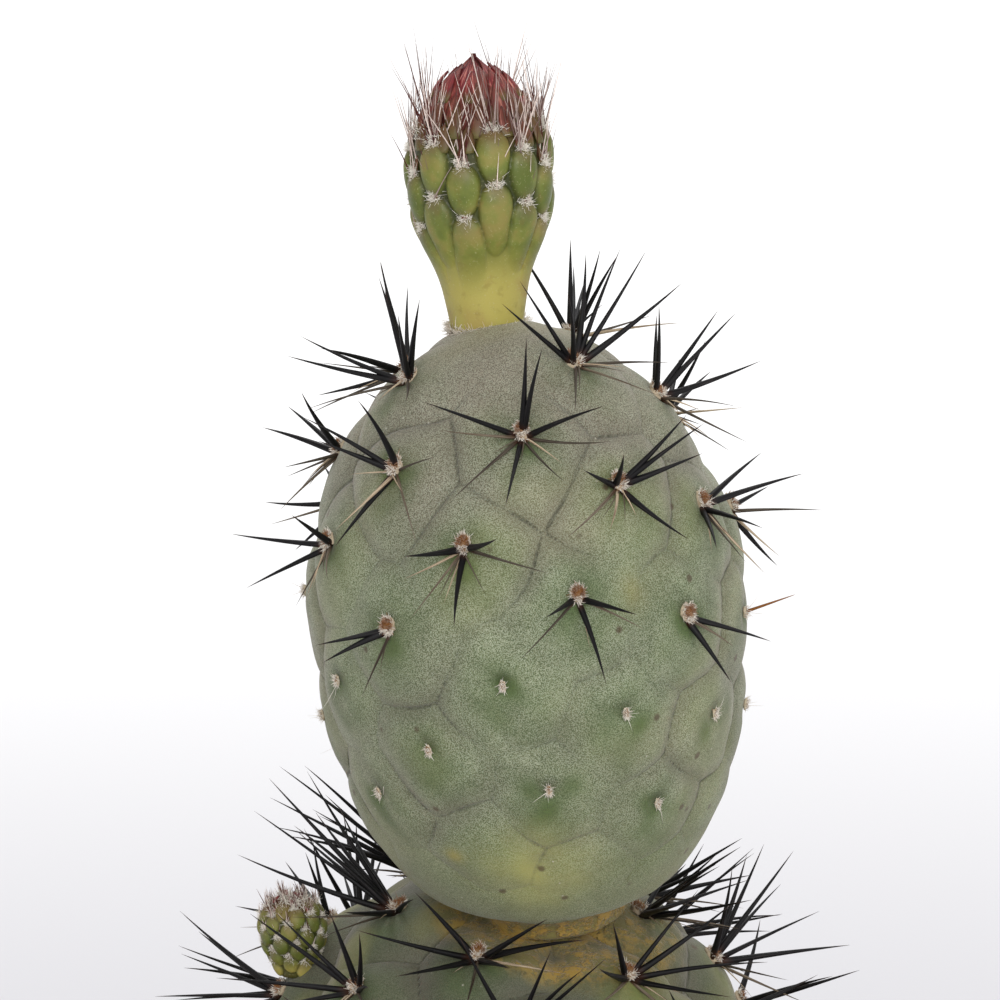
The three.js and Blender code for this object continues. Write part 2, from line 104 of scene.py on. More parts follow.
LOWER["fans"] = {
    0: stout((-90, 45, 18), (-60, 35, 16), (-120, 40, 18), (90, 42, 18), (120, 36, 17), (60, 30, 14),
             (-160, 30, 15)) + thin((165, 25, 14), (-135, 16, 13)),
    1: stout((-80, 48, 22), (-99, 50, 24), (-111, 42, 23), (-132, 36, 22), (-94, 24, 20), (-73, 26, 19),
             (-86, 36, 18), (-120, 56, 17), (88, 24, 12), (140, 32, 15))
       + thin((-160, 22, 14), (172, 16, 13)),
    4: stout((20, 60, 10), (94, 46, 16), (76, 20, 16), (-102, 28, 17), (-60, 46, 12), (-142, 32, 16),
             (145, 40, 15)) + thin((112, 14, 15), (178, 18, 14)),
    7: stout((-50, 50, 11), (120, 34, 18), (-100, 34, 14), (5, 58, 11), (60, 44, 14), (80, 34, 17),
             (155, 38, 15)) + thin((-114, 18, 15), (172, 18, 14)),
    10: stout((62, 44, 18), (66, 60, 18), (150, 48, 19), (-36, 38, 16), (92, 36, 18), (118, 46, 18),
              (30, 50, 14)) + thin((-112, 28, 16), (180, 24, 14)),
    14: stout((-142, 46, 18), (-80, 56, 18), (-84, 36, 18), (-108, 40, 18), (58, 30, 14), (120, 26, 16))
        + thin((-160, 20, 14), (150, 16, 12)),
}


# ---- numbers ----
def unit(vectors):
    vectors = np.asarray(vectors, float)
    return vectors / np.maximum(np.linalg.norm(vectors, axis=-1, keepdims=True), 1e-12)


def smooth(low, high, value):
    t = np.clip((np.asarray(value, float) - low) / (high - low), 0, 1)
    return t * t * (3 - 2 * t)


def field(points, wavelength, seed):
    """A smooth random field, mostly within -1 and 1, with features about wavelength mm wide."""
    rng = np.random.default_rng(seed)
    waves = 9
    wave = unit(rng.normal(size=(waves, 3)))
    wave = wave * (2 * math.pi / (wavelength * rng.uniform(0.7, 1.5, (waves, 1))))
    phase = rng.uniform(0, 2 * math.pi, waves)
    return np.sin(points @ wave.T + phase).sum(-1) / math.sqrt(waves)


def off_axis(points):
    return np.hypot(points[..., 0], points[..., 1])


def about_axis(turn, radius, level):
    """Points round Z, with their azimuth from -Y towards +X."""
    return np.stack(np.broadcast_arrays(radius * np.sin(turn), -radius * np.cos(turn), level), -1)


# ---- places on the joints and the buds ----
def joint_radius(joint, height):
    height = np.asarray(height, float)
    length = np.where(height > 0, joint["top_length"], joint["base_length"])
    power = np.where(height > 0, joint["top_power"], joint["base_power"])
    t = np.minimum(1.0, np.abs(height) / length)
    return joint["radius"] * np.sqrt(1 - t ** power)


def joint_turn(joint):
    left, forward = -math.radians(joint["left"]), math.radians(joint["forward"])
    about_y = np.array([[math.cos(left), 0, math.sin(left)], [0, 1, 0], [-math.sin(left), 0, math.cos(left)]])
    about_x = np.array([[1, 0, 0], [0, math.cos(forward), -math.sin(forward)],
                        [0, math.sin(forward), math.cos(forward)]])
    return about_y @ about_x


def to_world(joint, local):
    return np.asarray(local) @ joint_turn(joint).T + joint["centre"]


def to_local(joint, points):
    return (np.asarray(points) - joint["centre"]) @ joint_turn(joint)


class Spot:
    """A place on the skin: its point, outward normal, direction to the joint's tip, and right."""

    def __init__(self, joint, azimuth, height):
        turn, axis, step = math.radians(azimuth), np.array([0, 0, 1.0]), 0.05
        out = np.array([math.sin(turn), -math.cos(turn), 0])
        above, below = joint_radius(joint, height + step), joint_radius(joint, height - step)
        slope = float(above - below) / (2 * step)
        matrix = joint_turn(joint)
        self.point = to_world(joint, out * float(joint_radius(joint, height)) + axis * height)
        self.normal = unit(matrix @ (out - axis * slope))
        self.tipward = unit(matrix @ (axis + out * slope))
        self.right = unit(matrix @ np.array([math.cos(turn), math.sin(turn), 0]))

    def direction(self, clock, lift):
        around, up = math.radians(clock), math.radians(lift)
        flat = self.right * math.sin(around) + self.tipward * math.cos(around)
        return unit(flat * math.cos(up) + self.normal * math.sin(up))


def areole_height(joint, index):
    return joint["top"] - joint["step"] * index + joint["easing"] * index * index


def areole(joint, index):
    return Spot(joint, joint["start"] + joint["divergence"] * index, areole_height(joint, index))


seat = Spot(LOWER, NECK["azimuth"], NECK["height"])
UPPER["centre"] = seat.point + joint_turn(UPPER) @ np.array([0, 0, NECK["above"] - UPPER["cut"]])


class Stand:
    """The frame of a bud: its foot and its axis, with X to the right and -Y to the front."""

    def __init__(self, foot, axis):
        self.foot = foot
        self.turn = np.array(Vector((0, 0, 1)).rotation_difference(Vector(axis)).to_matrix())

    def world(self, local):
        return np.asarray(local) @ self.turn.T + self.foot

    def local(self, points):
        return (np.asarray(points) - self.foot) @ self.turn

    def lean(self, vectors):
        return unit(vectors @ self.turn.T)

    def on_side(self, azimuth, radius, level):
        """A point of the bud's side, with its outward direction and the bud's axis."""
        out = about_axis(azimuth, 1, 0)
        return self.world(about_axis(azimuth, radius, level)), self.turn @ out, self.turn[:, 2]


bud_lean = math.radians(BUD["left"])
bud_stand = Stand(areole(UPPER, BUD["areole"]).point, (-math.sin(bud_lean), 0, math.cos(bud_lean)))
side_spot = areole(LOWER, SIDE["areole"])
side_lift = math.radians(SIDE["lift"])
side_axis = unit(side_spot.normal * math.sin(side_lift) + side_spot.tipward * math.cos(side_lift))
side_stand = Stand(side_spot.point + side_spot.tipward * SIDE["above"] - side_axis * SIDE["sink"], side_axis)


# ---- meshes ----
class Pile:
    """Collects shapes with their vertex attributes and makes one mesh object of them."""

    def __init__(self):
        self.points, self.faces, self.attributes, self.count = [], [], {}, 0

    def add(self, points, faces, **attributes):
        points = np.asarray(points, float).reshape(-1, 3)
        for block in faces:
            self.faces.extend((np.asarray(block) + self.count).tolist())
        self.points.append(points)
        for name, values in attributes.items():
            values = np.asarray(values, float)
            if values.ndim == 0:
                values = np.full(len(points), float(values))
            self.attributes.setdefault(name, []).append(values)
        self.count += len(points)

    def add_closed(self, grid, **shade):
        """Adds a grid of rings, closed at both ends by a point, with a value for each of its points."""
        points, faces = capped(grid)
        for key, values in shade.items():
            values = np.reshape(values, grid.shape[:2])
            shade[key] = np.concatenate([values.ravel(), [values[0].mean(), values[-1].mean()]])
        self.add(points, faces, **shade)

    def build(self, name, material, slot, replaces=()):
        mesh = bpy.data.meshes.new(name)
        mesh.from_pydata((np.concatenate(self.points) * MM).tolist(), [], self.faces)
        for key, parts in self.attributes.items():
            values = np.concatenate(parts)
            kind, place = ("FLOAT_VECTOR", "vector") if values.ndim == 2 else ("FLOAT", "value")
            data = mesh.attributes.new(key, kind, "POINT").data
            data.foreach_set(place, values.astype(np.float32).ravel())
        mesh.polygons.foreach_set("use_smooth", np.ones(len(mesh.polygons), bool))
        mesh.materials.append(material)
        mesh.update()
        piece = bpy.data.objects.new(name, mesh)
        bpy.context.scene.collection.objects.link(piece)
        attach(piece, "root")
        if replaces:
            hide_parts(*replaces)


def ring_faces(rows, columns):
    row, column = np.meshgrid(np.arange(rows - 1), np.arange(columns), indexing="ij")
    after = (column + 1) % columns
    return np.stack([row * columns + column, row * columns + after,
                     (row + 1) * columns + after, (row + 1) * columns + column], -1).reshape(-1, 4)


def capped(grid):
    """Points and faces of a grid of rings, closed at both ends by a point."""
    rows, columns, _ = grid.shape
    points = np.concatenate([grid.reshape(-1, 3), [grid[0].mean(0), grid[-1].mean(0)]])
    around = np.arange(columns)
    after = (around + 1) % columns
    low = np.stack([np.full(columns, rows * columns), after, around], -1)
    last = (rows - 1) * columns
    high = np.stack([np.full(columns, rows * columns + 1), last + around, last + after], -1)
    return points, [ring_faces(rows, columns), low, high]


def rounded(profile, times):
    """A profile with its corners cut, keeping its two ends."""
    profile = np.asarray(profile, float)
    for _ in range(times):
        near = profile[:-1] * 0.75 + profile[1:] * 0.25
        far = profile[:-1] * 0.25 + profile[1:] * 0.75
        middle = np.stack([near, far], 1).reshape(-1, 2)
        profile = np.concatenate([profile[:1], middle, profile[-1:]])
    return profile


def resampled(profile, count):
    """A profile with its points spread evenly along it."""
    along = np.concatenate([[0], np.cumsum(np.hypot(*np.diff(profile, axis=0).T))])
    at = np.linspace(0, along[-1], count)
    return np.stack([np.interp(at, along, profile[:, 0]), np.interp(at, along, profile[:, 1])], -1)


def lathe(profile, columns):
    """Rings of points about Z from [radius, height] rows."""
    turn = np.linspace(0, 2 * math.pi, columns, endpoint=False)
    return about_axis(turn, profile[:, :1], profile[:, 1:])


def ring_normals(grid):
    across = np.roll(grid, -1, 1) - np.roll(grid, 1, 1)
    return unit(np.cross(across, np.gradient(grid, axis=0)))


def strands(points, radii, sides):
    """Points, faces and the place along each strand of tapered tubes. points is strands x steps x 3."""
    count, steps, _ = points.shape
    tangent = unit(np.gradient(points, axis=1))
    spare = np.where(np.abs(tangent[:, :1, 2:]) > 0.9, np.array([1.0, 0, 0]), np.array([0, 0, 1.0]))
    side = unit(np.cross(tangent, np.broadcast_to(spare, tangent.shape)))
    other = np.cross(tangent, side)
    turn = np.linspace(0, 2 * math.pi, sides, endpoint=False)
    spread = np.cos(turn)[:, None] * side[:, :, None] + np.sin(turn)[:, None] * other[:, :, None]
    rings = points[:, :, None] + radii[:, :, None, None] * spread
    first = np.arange(count)[:, None, None] * steps * sides
    walls = (ring_faces(steps, sides)[None] + first).reshape(-1, 4)
    foot = np.arange(sides)[::-1][None] + first[:, 0]
    tip = np.arange(sides)[None] + (steps - 1) * sides + first[:, 0]
    along = np.broadcast_to(np.linspace(0, 1, steps)[None, :, None], (count, steps, sides))
    return rings.reshape(-1, 3), [walls, foot, tip], along.reshape(-1), turn


def blade(pile, outside, thickness, brown):
    """A closed thin leaf from the grid of its outer face, rows along it and columns across."""
    rows, columns, _ = outside.shape
    size = rows * columns
    normal = unit(np.cross(np.gradient(outside, axis=1), np.gradient(outside, axis=0)))
    row, column = np.meshgrid(np.arange(rows - 1), np.arange(columns - 1), indexing="ij")
    corner = (row * columns + column).ravel()
    outer = np.stack([corner, corner + 1, corner + columns + 1, corner + columns], -1)
    inner = outer[:, ::-1] + size
    edge = np.concatenate([np.arange(columns), np.arange(1, rows) * columns + columns - 1,
                           (rows - 1) * columns + np.arange(columns - 1)[::-1],
                           np.arange(1, rows - 1)[::-1] * columns])
    after = np.roll(edge, -1)
    rim = np.stack([edge, edge + size, after + size, after], -1)
    along = np.repeat(np.linspace(0, 1, rows), columns)
    across = np.tile(np.linspace(-1, 1, columns), rows)
    pile.add(np.stack([outside, outside - normal * thickness]), [outer, inner, rim],
             along=np.tile(along, 2), across=np.tile(across, 2), brown=brown)


# ---- materials ----
def colour(red, green, blue):
    """A linear colour from screen values of 0 to 255."""
    values = np.array([red, green, blue]) / 255
    linear = np.where(values <= 0.04045, values / 12.92, ((values + 0.055) / 1.055) ** 2.4)
    return (*[float(value) for value in linear], 1.0)


class Paint:
    """A node material, built from small steps. Colours are given as screen values of 0 to 255."""

    def __init__(self, name, roughness=0.5, **settings):
        self.material = bpy.data.materials.new(name)
        self.material.use_nodes = True
        self.tree = self.material.node_tree
        self.tree.nodes.clear()
        self.shader = self.tree.nodes.new("ShaderNodeBsdfPrincipled")
        self.shader.inputs["Roughness"].default_value = roughness
        for key, value in settings.items():
            self.put(value, self.shader.inputs[key.replace("_", " ")])
        output = self.tree.nodes.new("ShaderNodeOutputMaterial")
        self.tree.links.new(self.shader.outputs[0], output.inputs["Surface"])
        self.place = self.tree.nodes.new("ShaderNodeTexCoord").outputs["Object"]
        self.base = None

    def put(self, value, socket):
        if isinstance(value, bpy.types.NodeSocket):
            self.tree.links.new(value, socket)
        else:
            socket.default_value = colour(*value) if isinstance(value, tuple) else value

    def attribute(self, name, output="Fac"):
        node = self.tree.nodes.new("ShaderNodeAttribute")
        node.attribute_name = name
        return node.outputs[output]

    def noise(self, size, detail=2.0, rough=0.5, place=None, distortion=0.0):
        """A noise whose features are about size mm wide."""
        node = self.tree.nodes.new("ShaderNodeTexNoise")
        self.put(place or self.place, node.inputs["Vector"])
        node.inputs["Scale"].default_value = 1 / (size * MM)
        node.inputs["Detail"].default_value = detail
        node.inputs["Roughness"].default_value = rough
        node.inputs["Distortion"].default_value = distortion
        return node.outputs["Fac"]

    def dots(self, size, low, high, strength=1.0):
        """Scattered dots, one to a cell of about size mm."""
        node = self.tree.nodes.new("ShaderNodeTexVoronoi")
        self.put(self.place, node.inputs["Vector"])
        node.inputs["Scale"].default_value = 1 / (size * MM)
        return self.span(node.outputs["Distance"], low, high, strength, 0.0)

    def math(self, operation, first, second):
        node = self.tree.nodes.new("ShaderNodeMath")
        node.operation = operation
        node.use_clamp = operation != "ADD"
        self.put(first, node.inputs[0])
        self.put(second, node.inputs[1])
        return node.outputs[0]

    def times(self, first, second):
        return self.math("MULTIPLY", first, second)

    def minus(self, first, second):
        return self.math("SUBTRACT", first, second)

    def span(self, value, low, high, start=0.0, end=1.0):
        """value mapped from low..high to start..end, smoothly and held at the ends."""
        node = self.tree.nodes.new("ShaderNodeMapRange")
        node.interpolation_type = "SMOOTHSTEP"
        self.put(value, node.inputs["Value"])
        for key, number in (("From Min", low), ("From Max", high), ("To Min", start), ("To Max", end)):
            node.inputs[key].default_value = number
        return node.outputs["Result"]

    def mix(self, factor, first, second):
        node = self.tree.nodes.new("ShaderNodeMix")
        node.data_type = "RGBA"
        self.put(factor, node.inputs[0])
        self.put(first, node.inputs[6])
        self.put(second, node.inputs[7])
        return node.outputs[2]

    def coat(self, factor, over):
        """Lays a colour over the base colour as far as it has got."""
        self.base = self.mix(factor, self.base, over)

    def bump(self, height, depth, under=None):
        """A bump of about depth mm."""
        node = self.tree.nodes.new("ShaderNodeBump")
        node.inputs["Strength"].default_value = 1.0
        node.inputs["Distance"].default_value = depth * MM
        self.put(height, node.inputs["Height"])
        if under:
            self.put(under, node.inputs["Normal"])
        return node.outputs["Normal"]

    def finish(self, normal=None, roughness=None):
        for value, key in ((self.base, "Base Color"), (normal, "Normal"), (roughness, "Roughness")):
            if value:
                self.put(value, self.shader.inputs[key])
        return self.material


def skin_material(name, green, dark, pale, mauve):
    paint = Paint(name, 0.6, Sheen_Weight=0.32, Sheen_Roughness=0.45, Specular_IOR_Level=0.25,
                  Sheen_Tint=(225, 215, 210), Subsurface_Weight=0.05, Subsurface_Scale=0.003)
    edge, furrow, fresh, halo, cork = map(paint.attribute, ("edge", "furrow", "fresh", "halo", "cork"))
    fine = paint.noise(0.13, 0.0, 0.5)
    grain = paint.noise(0.4, 2.0, 0.6)
    cloud = paint.noise(8, 4.0, 0.62, distortion=0.5)
    large = paint.noise(30, 2.0, 0.5)
    wander = paint.minus(paint.times(paint.noise(3.0, 2.0), 0.5), 0.22)
    # the thin line in each furrow's crease: shade is painted along it and the bump below cuts it in
    line = paint.times(paint.span(paint.math("ADD", edge, wander), 0.02, 0.34, 1.0, 0.0), furrow)
    paint.base = paint.mix(paint.span(cloud, 0.36, 0.64), dark, green)
    paint.coat(paint.span(large, 0.46, 0.66, 0, 0.26), mauve)
    paint.coat(paint.attribute("apex"), mauve)
    paint.coat(paint.times(fresh, 0.6), (108, 122, 68))
    paint.coat(halo, (80, 100, 54))
    # painted shade: a dark green spot just above each areole, at the upper edge of its dimple
    paint.coat(paint.attribute("crest"), (58, 68, 38))
    # the pale waxy bloom, rubbed off round the areoles and on young skin
    kept = paint.minus(paint.minus(0.85, halo), paint.times(fresh, 0.3))
    kept = paint.times(kept, paint.span(cloud, 0.3, 0.6, 0.65, 1.0))
    bloom = paint.times(paint.span(fine, 0.4, 0.66), paint.span(grain, 0.35, 0.65, 0.66, 0.92))
    paint.coat(paint.times(bloom, kept), pale)
    paint.coat(paint.span(fine, 0.3, 0.52, 0.6, 0.0), (66, 72, 50))
    paint.coat(paint.attribute("yellow"), (172, 170, 98))
    # painted shade beside and in the furrows, then freckles and flecks
    paint.coat(paint.times(paint.span(edge, 0.0, 3.0, 0.42, 0.0), furrow), (98, 96, 80))
    paint.coat(paint.times(line, 0.6), (58, 60, 48))
    paint.coat(paint.dots(6.0, 0.05, 0.12, 0.75), (76, 58, 42))
    paint.coat(paint.times(paint.dots(2.6, 0.03, 0.07, 0.7), paint.span(large, 0.5, 0.6)), (196, 192, 178))
    scurf = paint.times(cork, paint.span(paint.noise(2.2, 4.0, 0.7), 0.42, 0.6))
    paint.coat(cork, (132, 122, 70))
    paint.coat(scurf, (172, 140, 68))
    paint.coat(paint.attribute("scar"), (148, 138, 76))
    normal = paint.bump(grain, 0.08, paint.bump(fine, 0.04))
    normal = paint.bump(paint.minus(1.0, line), 0.22, paint.bump(scurf, 0.4, normal))
    return paint.finish(normal, paint.span(grain, 0.35, 0.7, 0.54, 0.7))


def spine_material():
    paint = Paint("spine_black", Specular_IOR_Level=0.24)
    streak = paint.noise(0.22, 3.0, 0.6, place=paint.attribute("lengthwise", "Vector"))
    along = paint.attribute("along")
    black = paint.mix(paint.span(streak, 0.54, 0.74, 0, 0.5), (10, 9, 11), (70, 62, 62))
    tan = paint.mix(paint.span(streak, 0.35, 0.65), (120, 92, 70), (226, 206, 176))
    paint.base = paint.mix(paint.attribute("tone"), black, tan)
    paint.coat(paint.span(along, 0.0, 0.14, 0.65, 0.0), (84, 48, 32))
    paint.coat(paint.span(along, 0.8, 1.0, 0.0, 0.45), (88, 62, 52))
    return paint.finish(paint.bump(streak, 0.05), paint.span(streak, 0.3, 0.7, 0.42, 0.62))


def fibre_material(name, dark, light, roughness=0.75):
    paint = Paint(name, roughness, Specular_IOR_Level=0.2)
    mottle = paint.noise(0.5, 3.0, 0.6)
    paint.base = paint.mix(paint.attribute("tone"), dark, light)
    paint.coat(paint.span(mottle, 0.45, 0.7, 0.0, 0.3), (126, 92, 56))
    return paint.finish(paint.bump(mottle, 0.06))


def bud_material():
    paint = Paint("bud_skin", Subsurface_Weight=0.06, Subsurface_Scale=0.003, Specular_IOR_Level=0.34)
    cloud, fine = paint.noise(4.5, 3.0, 0.5), paint.noise(0.3, 2.0, 0.6)
    green = paint.mix(paint.span(cloud, 0.35, 0.65), (88, 100, 36), (120, 128, 54))
    paint.base = paint.mix(paint.attribute("neck"), green, (182, 170, 90))
    paint.coat(paint.span(paint.noise(1.6, 3.0, 0.6), 0.52, 0.72, 0, 0.3), (120, 100, 44))
    paint.coat(paint.times(paint.span(cloud, 0.5, 0.7), 0.35), (160, 124, 80))
    paint.coat(paint.attribute("shoulder"), (118, 102, 76))
    # painted shade in the clefts between the bud's tubercles
    paint.coat(paint.attribute("cleft"), (40, 46, 12))
    paint.coat(paint.attribute("ripe"), (104, 66, 40))
    paint.coat(paint.span(fine, 0.6, 0.75, 0, 0.35), (190, 186, 140))
    return paint.finish(paint.bump(fine, 0.04), paint.span(cloud, 0.3, 0.7, 0.36, 0.52))


def petal_material():
    paint = Paint("petal", Subsurface_Weight=0.08, Subsurface_Scale=0.002, Specular_IOR_Level=0.45)
    vein_and_glint = paint.noise(0.5, 3.0, 0.6, place=paint.attribute("lengthwise", "Vector"))
    cloud, along = paint.noise(2.2, 3.0, 0.6), paint.attribute("along")
    paint.base = paint.mix(paint.span(vein_and_glint, 0.32, 0.68), (82, 16, 26), (146, 40, 48))
    # painted highlights: pale pink glints streaked along the tepals
    paint.coat(paint.span(vein_and_glint, 0.54, 0.7, 0, 0.8), (220, 150, 134))
    paint.coat(paint.span(cloud, 0.45, 0.68, 0, 0.5), (110, 58, 40))
    paint.coat(paint.attribute("brown"), (96, 70, 40))
    paint.coat(paint.span(along, 0.0, 0.42, 0.9, 0.0), (98, 92, 46))
    paint.coat(paint.span(along, 0.8, 1.0, 0.0, 0.6), (74, 26, 28))
    return paint.finish(paint.bump(vein_and_glint, 0.08), paint.span(cloud, 0.35, 0.65, 0.36, 0.55))


def clay_material():
    paint = Paint("fired_clay", Specular_IOR_Level=0.2)
    grain, grit = paint.noise(1.1, 4.0, 0.65), paint.dots(2.3, 0.05, 0.14)
    cloud = paint.noise(26, 4.0, 0.6, distortion=0.3)
    salt = paint.times(paint.span(paint.noise(9, 5.0, 0.7), 0.47, 0.62), paint.attribute("salt"))
    paint.base = paint.mix(paint.span(cloud, 0.35, 0.68), (168, 92, 64), (196, 120, 88))
    paint.coat(paint.span(grain, 0.45, 0.7, 0, 0.4), (148, 80, 56))
    paint.coat(paint.times(grit, 0.5), (112, 62, 44))
    paint.coat(salt, (214, 196, 180))
    paint.coat(paint.attribute("damp"), (110, 62, 44))
    normal = paint.bump(grit, 0.12, paint.bump(grain, 0.14))
    return paint.finish(normal, paint.span(grain, 0.3, 0.7, 0.78, 0.92))


def soil_material():
    paint = Paint("dark_mix", 0.95, Specular_IOR_Level=0.15)
    crumb = paint.noise(1.6, 5.0, 0.7)
    paint.base = paint.mix(paint.span(crumb, 0.35, 0.65), (48, 37, 29), (92, 74, 58))
    paint.coat(paint.span(paint.noise(0.5, 3.0), 0.62, 0.75), (150, 128, 104))
    return paint.finish(paint.bump(crumb, 0.6))


def grain_material():
    paint = Paint("mineral_grains", 0.9, Specular_IOR_Level=0.2)
    pit = paint.noise(0.45, 4.0, 0.7)
    paint.base = paint.mix(paint.attribute("tone"), (62, 46, 38), (204, 192, 170))
    paint.coat(paint.attribute("lava"), (116, 62, 48))
    paint.coat(paint.span(pit, 0.35, 0.5, 0.5, 0.0), (54, 44, 36))
    return paint.finish(paint.bump(pit, 0.16))


def floor_material():
    """Painted light falloff: pale grey shade near the object and white far from it, where the backdrop would
    be.
    """
    paint = Paint("pale_floor", 0.8, Specular_IOR_Level=0.1)
    node = paint.tree.nodes.new("ShaderNodeVectorMath")
    node.operation = "LENGTH"
    paint.put(paint.place, node.inputs[0])
    far = paint.span(node.outputs["Value"], 0.3, 1.05)
    # painted shade near the object, fading to white far from it
    paint.base = paint.mix(far, (214, 213, 217), (255, 255, 255))
    paint.coat(paint.span(paint.noise(400, 2.0), 0.3, 0.7, 0.0, 0.04), (240, 238, 240))
    return paint.finish()


upper_paint = skin_material("upper_skin", (120, 131, 94), (99, 108, 77), (179, 184, 163), (134, 122, 109))
# painted shade: the lower skin's colours are the upper skin's made darker, for the shade the lower joint lies
# in under the upper joint
lower_shaded_paint = skin_material("lower_skin", (78, 88, 58), (60, 68, 46), (114, 118, 97), (96, 88, 82))
spine_paint = spine_material()
wool_paint = fibre_material("wool", (140, 88, 42), (248, 243, 232))
pad_paint = fibre_material("areole_felt", (118, 76, 36), (214, 200, 174), 0.9)
bristle_paint = fibre_material("bristle", (82, 36, 34), (244, 226, 216), 0.45)
bud_paint = bud_material()
petal_paint = petal_material()


# ---- the skins with their tubercles ----
def cells(joint, points):
    """Distance to the nearest tubercle's middle and to the furrow between it and the next."""
    middles, index = [], joint["first"]
    while areole_height(joint, index) > joint["cut"] + 1.5:
        spot = areole(joint, index)
        middles.append(spot.point - spot.tipward * joint["seed_shift"])
        index += 1
    middles = np.array(middles)
    wander = np.stack([field(points, 15, 11 + axis) for axis in range(3)], -1)
    gaps = np.linalg.norm((points + 0.75 * wander)[:, None] - middles[None], axis=-1)
    nearest = np.argpartition(gaps, 2, axis=1)[:, :2]
    near, far = np.sort(np.take_along_axis(gaps, nearest, 1), axis=1).T
    between = np.linalg.norm(middles[nearest[:, 0]] - middles[nearest[:, 1]], axis=1)
    return near, (far ** 2 - near ** 2) / (2 * between)


def around_areoles(points, joint, down, across, along, offset, power=1.0):
    """How near each point is to an areole, 1 at one and falling off in an upright ellipse."""
    best = np.zeros(len(points))
    for index in range(joint["spiny"][0], joint["last"] + 1):
        spot = areole(joint, index)
        away = points - (spot.point - spot.tipward * offset)
        up, side, out = away @ spot.tipward, away @ spot.right, away @ spot.normal
        reach = np.where(up < 0, down, along)
        value = np.exp(-((side / across) ** 2 + (up / reach) ** 2 + (out / 4) ** 2) ** power)
        best = np.maximum(best, value)
    return best


def near_place(points, joint, azimuth, height, across, along):
    spot = Spot(joint, azimuth, height)
    away = points - spot.point
    return np.exp(-((away @ spot.right) / across) ** 2 - ((away @ spot.tipward) / along) ** 2
                  - ((away @ spot.normal) / 12) ** 2)


def seat_distance(points):
    """Distance from the upper joint's axis, which its seat on the lower joint is round."""
    axis = joint_turn(UPPER)[:, 2]
    away = points - seat.point
    return np.linalg.norm(away - (away @ axis)[:, None] * axis, axis=1)


def furrow_fade(joint, height):
    return smooth(joint["cut"] + 4, joint["cut"] + 24, height) * smooth(
        joint["top_length"] + 0.5, joint["top_length"] - 6, height)


def furrow_strength(points):
    return np.clip(0.62 + 0.5 * field(points, 16, 21), 0.12, 1.0)


def skin_relief(joint, points):
    """How far the skin stands out from the plain egg, in mm, before the dimples at its areoles."""
    near, edge = cells(joint, points)
    height = to_local(joint, points)[:, 2]
    fade, strength = furrow_fade(joint, height), furrow_strength(points)
    valley = np.exp(-(edge / 1.8) ** 2) * strength
    cleft = np.exp(-(edge / 0.45) ** 2) * strength
    relief = -joint["bulge"] * np.clip(near / 8.2, 0, 1.3) ** 2 * fade
    relief -= joint["depth"] * (0.6 * valley + 0.4 * cleft) * fade
    relief += 0.15 * field(points, 26, 5) + 0.05 * field(points, 5, 6) + SKIN_SWELL
    if joint is UPPER:
        foot = joint["cut"]
        relief -= 0.9 * smooth(-24, -44, height) * smooth(foot - 0.5, foot + 2, height)
        relief -= 1.9 * np.exp(-((height - foot - 0.2) / 2.1) ** 2)
    else:
        ring = seat_distance(points)
        relief += -0.9 * smooth(17, 10, ring) + 0.12 * np.exp(-((ring - 16.5) / 2.0) ** 2)
    return relief


def upper_masks(points, height, valley):
    rise = smooth(10, 30, height + 3.0 * field(points, 16, 31))
    patch = near_place(points, UPPER, -3.5, -30.5, 6.0, 5.6) * (0.72 + 0.2 * field(points, 6, 41))
    return dict(
        apex=np.clip(0.85 * rise + 0.3 * valley * (0.5 + 0.5 * field(points, 20, 32)), 0, 0.95),
        yellow=np.clip(patch + 0.1 * np.clip(field(points, 17, 42), 0, 1), 0, 0.85),
        cork=smooth(UPPER["cut"] + 0.5, UPPER["cut"] - 1.0, height) * 0.9,
        scar=(near_place(points, UPPER, -28, -27.5, 1.2, 1.1) * 0.85
              + near_place(points, UPPER, 31, 8, 1.6, 2.3) * 0.35),
        fresh=smooth(-14, -36, height + 4 * field(points, 18, 24)),
    )


def lower_masks(points, height, valley):
    rise = smooth(6, 24, height + 4 * field(points, 14, 61))
    patchy = np.clip(0.85 + 0.4 * field(points, 7, 51), 0, 1)
    front = 0.5 + 0.5 * np.exp(-((points[:, 0] - 4.5) / 11.0) ** 2)
    collar = smooth(18.5, 14, seat_distance(points)) * (height > 10)
    none = np.zeros(len(points))
    return dict(
        apex=np.clip(0.62 * rise + 0.3 * valley, 0, 0.85),
        yellow=0.25 * np.clip(field(points, 12, 71), 0, 1),
        cork=np.clip(collar * patchy * front, 0, 0.95),
        scar=none,
        fresh=none,
    )


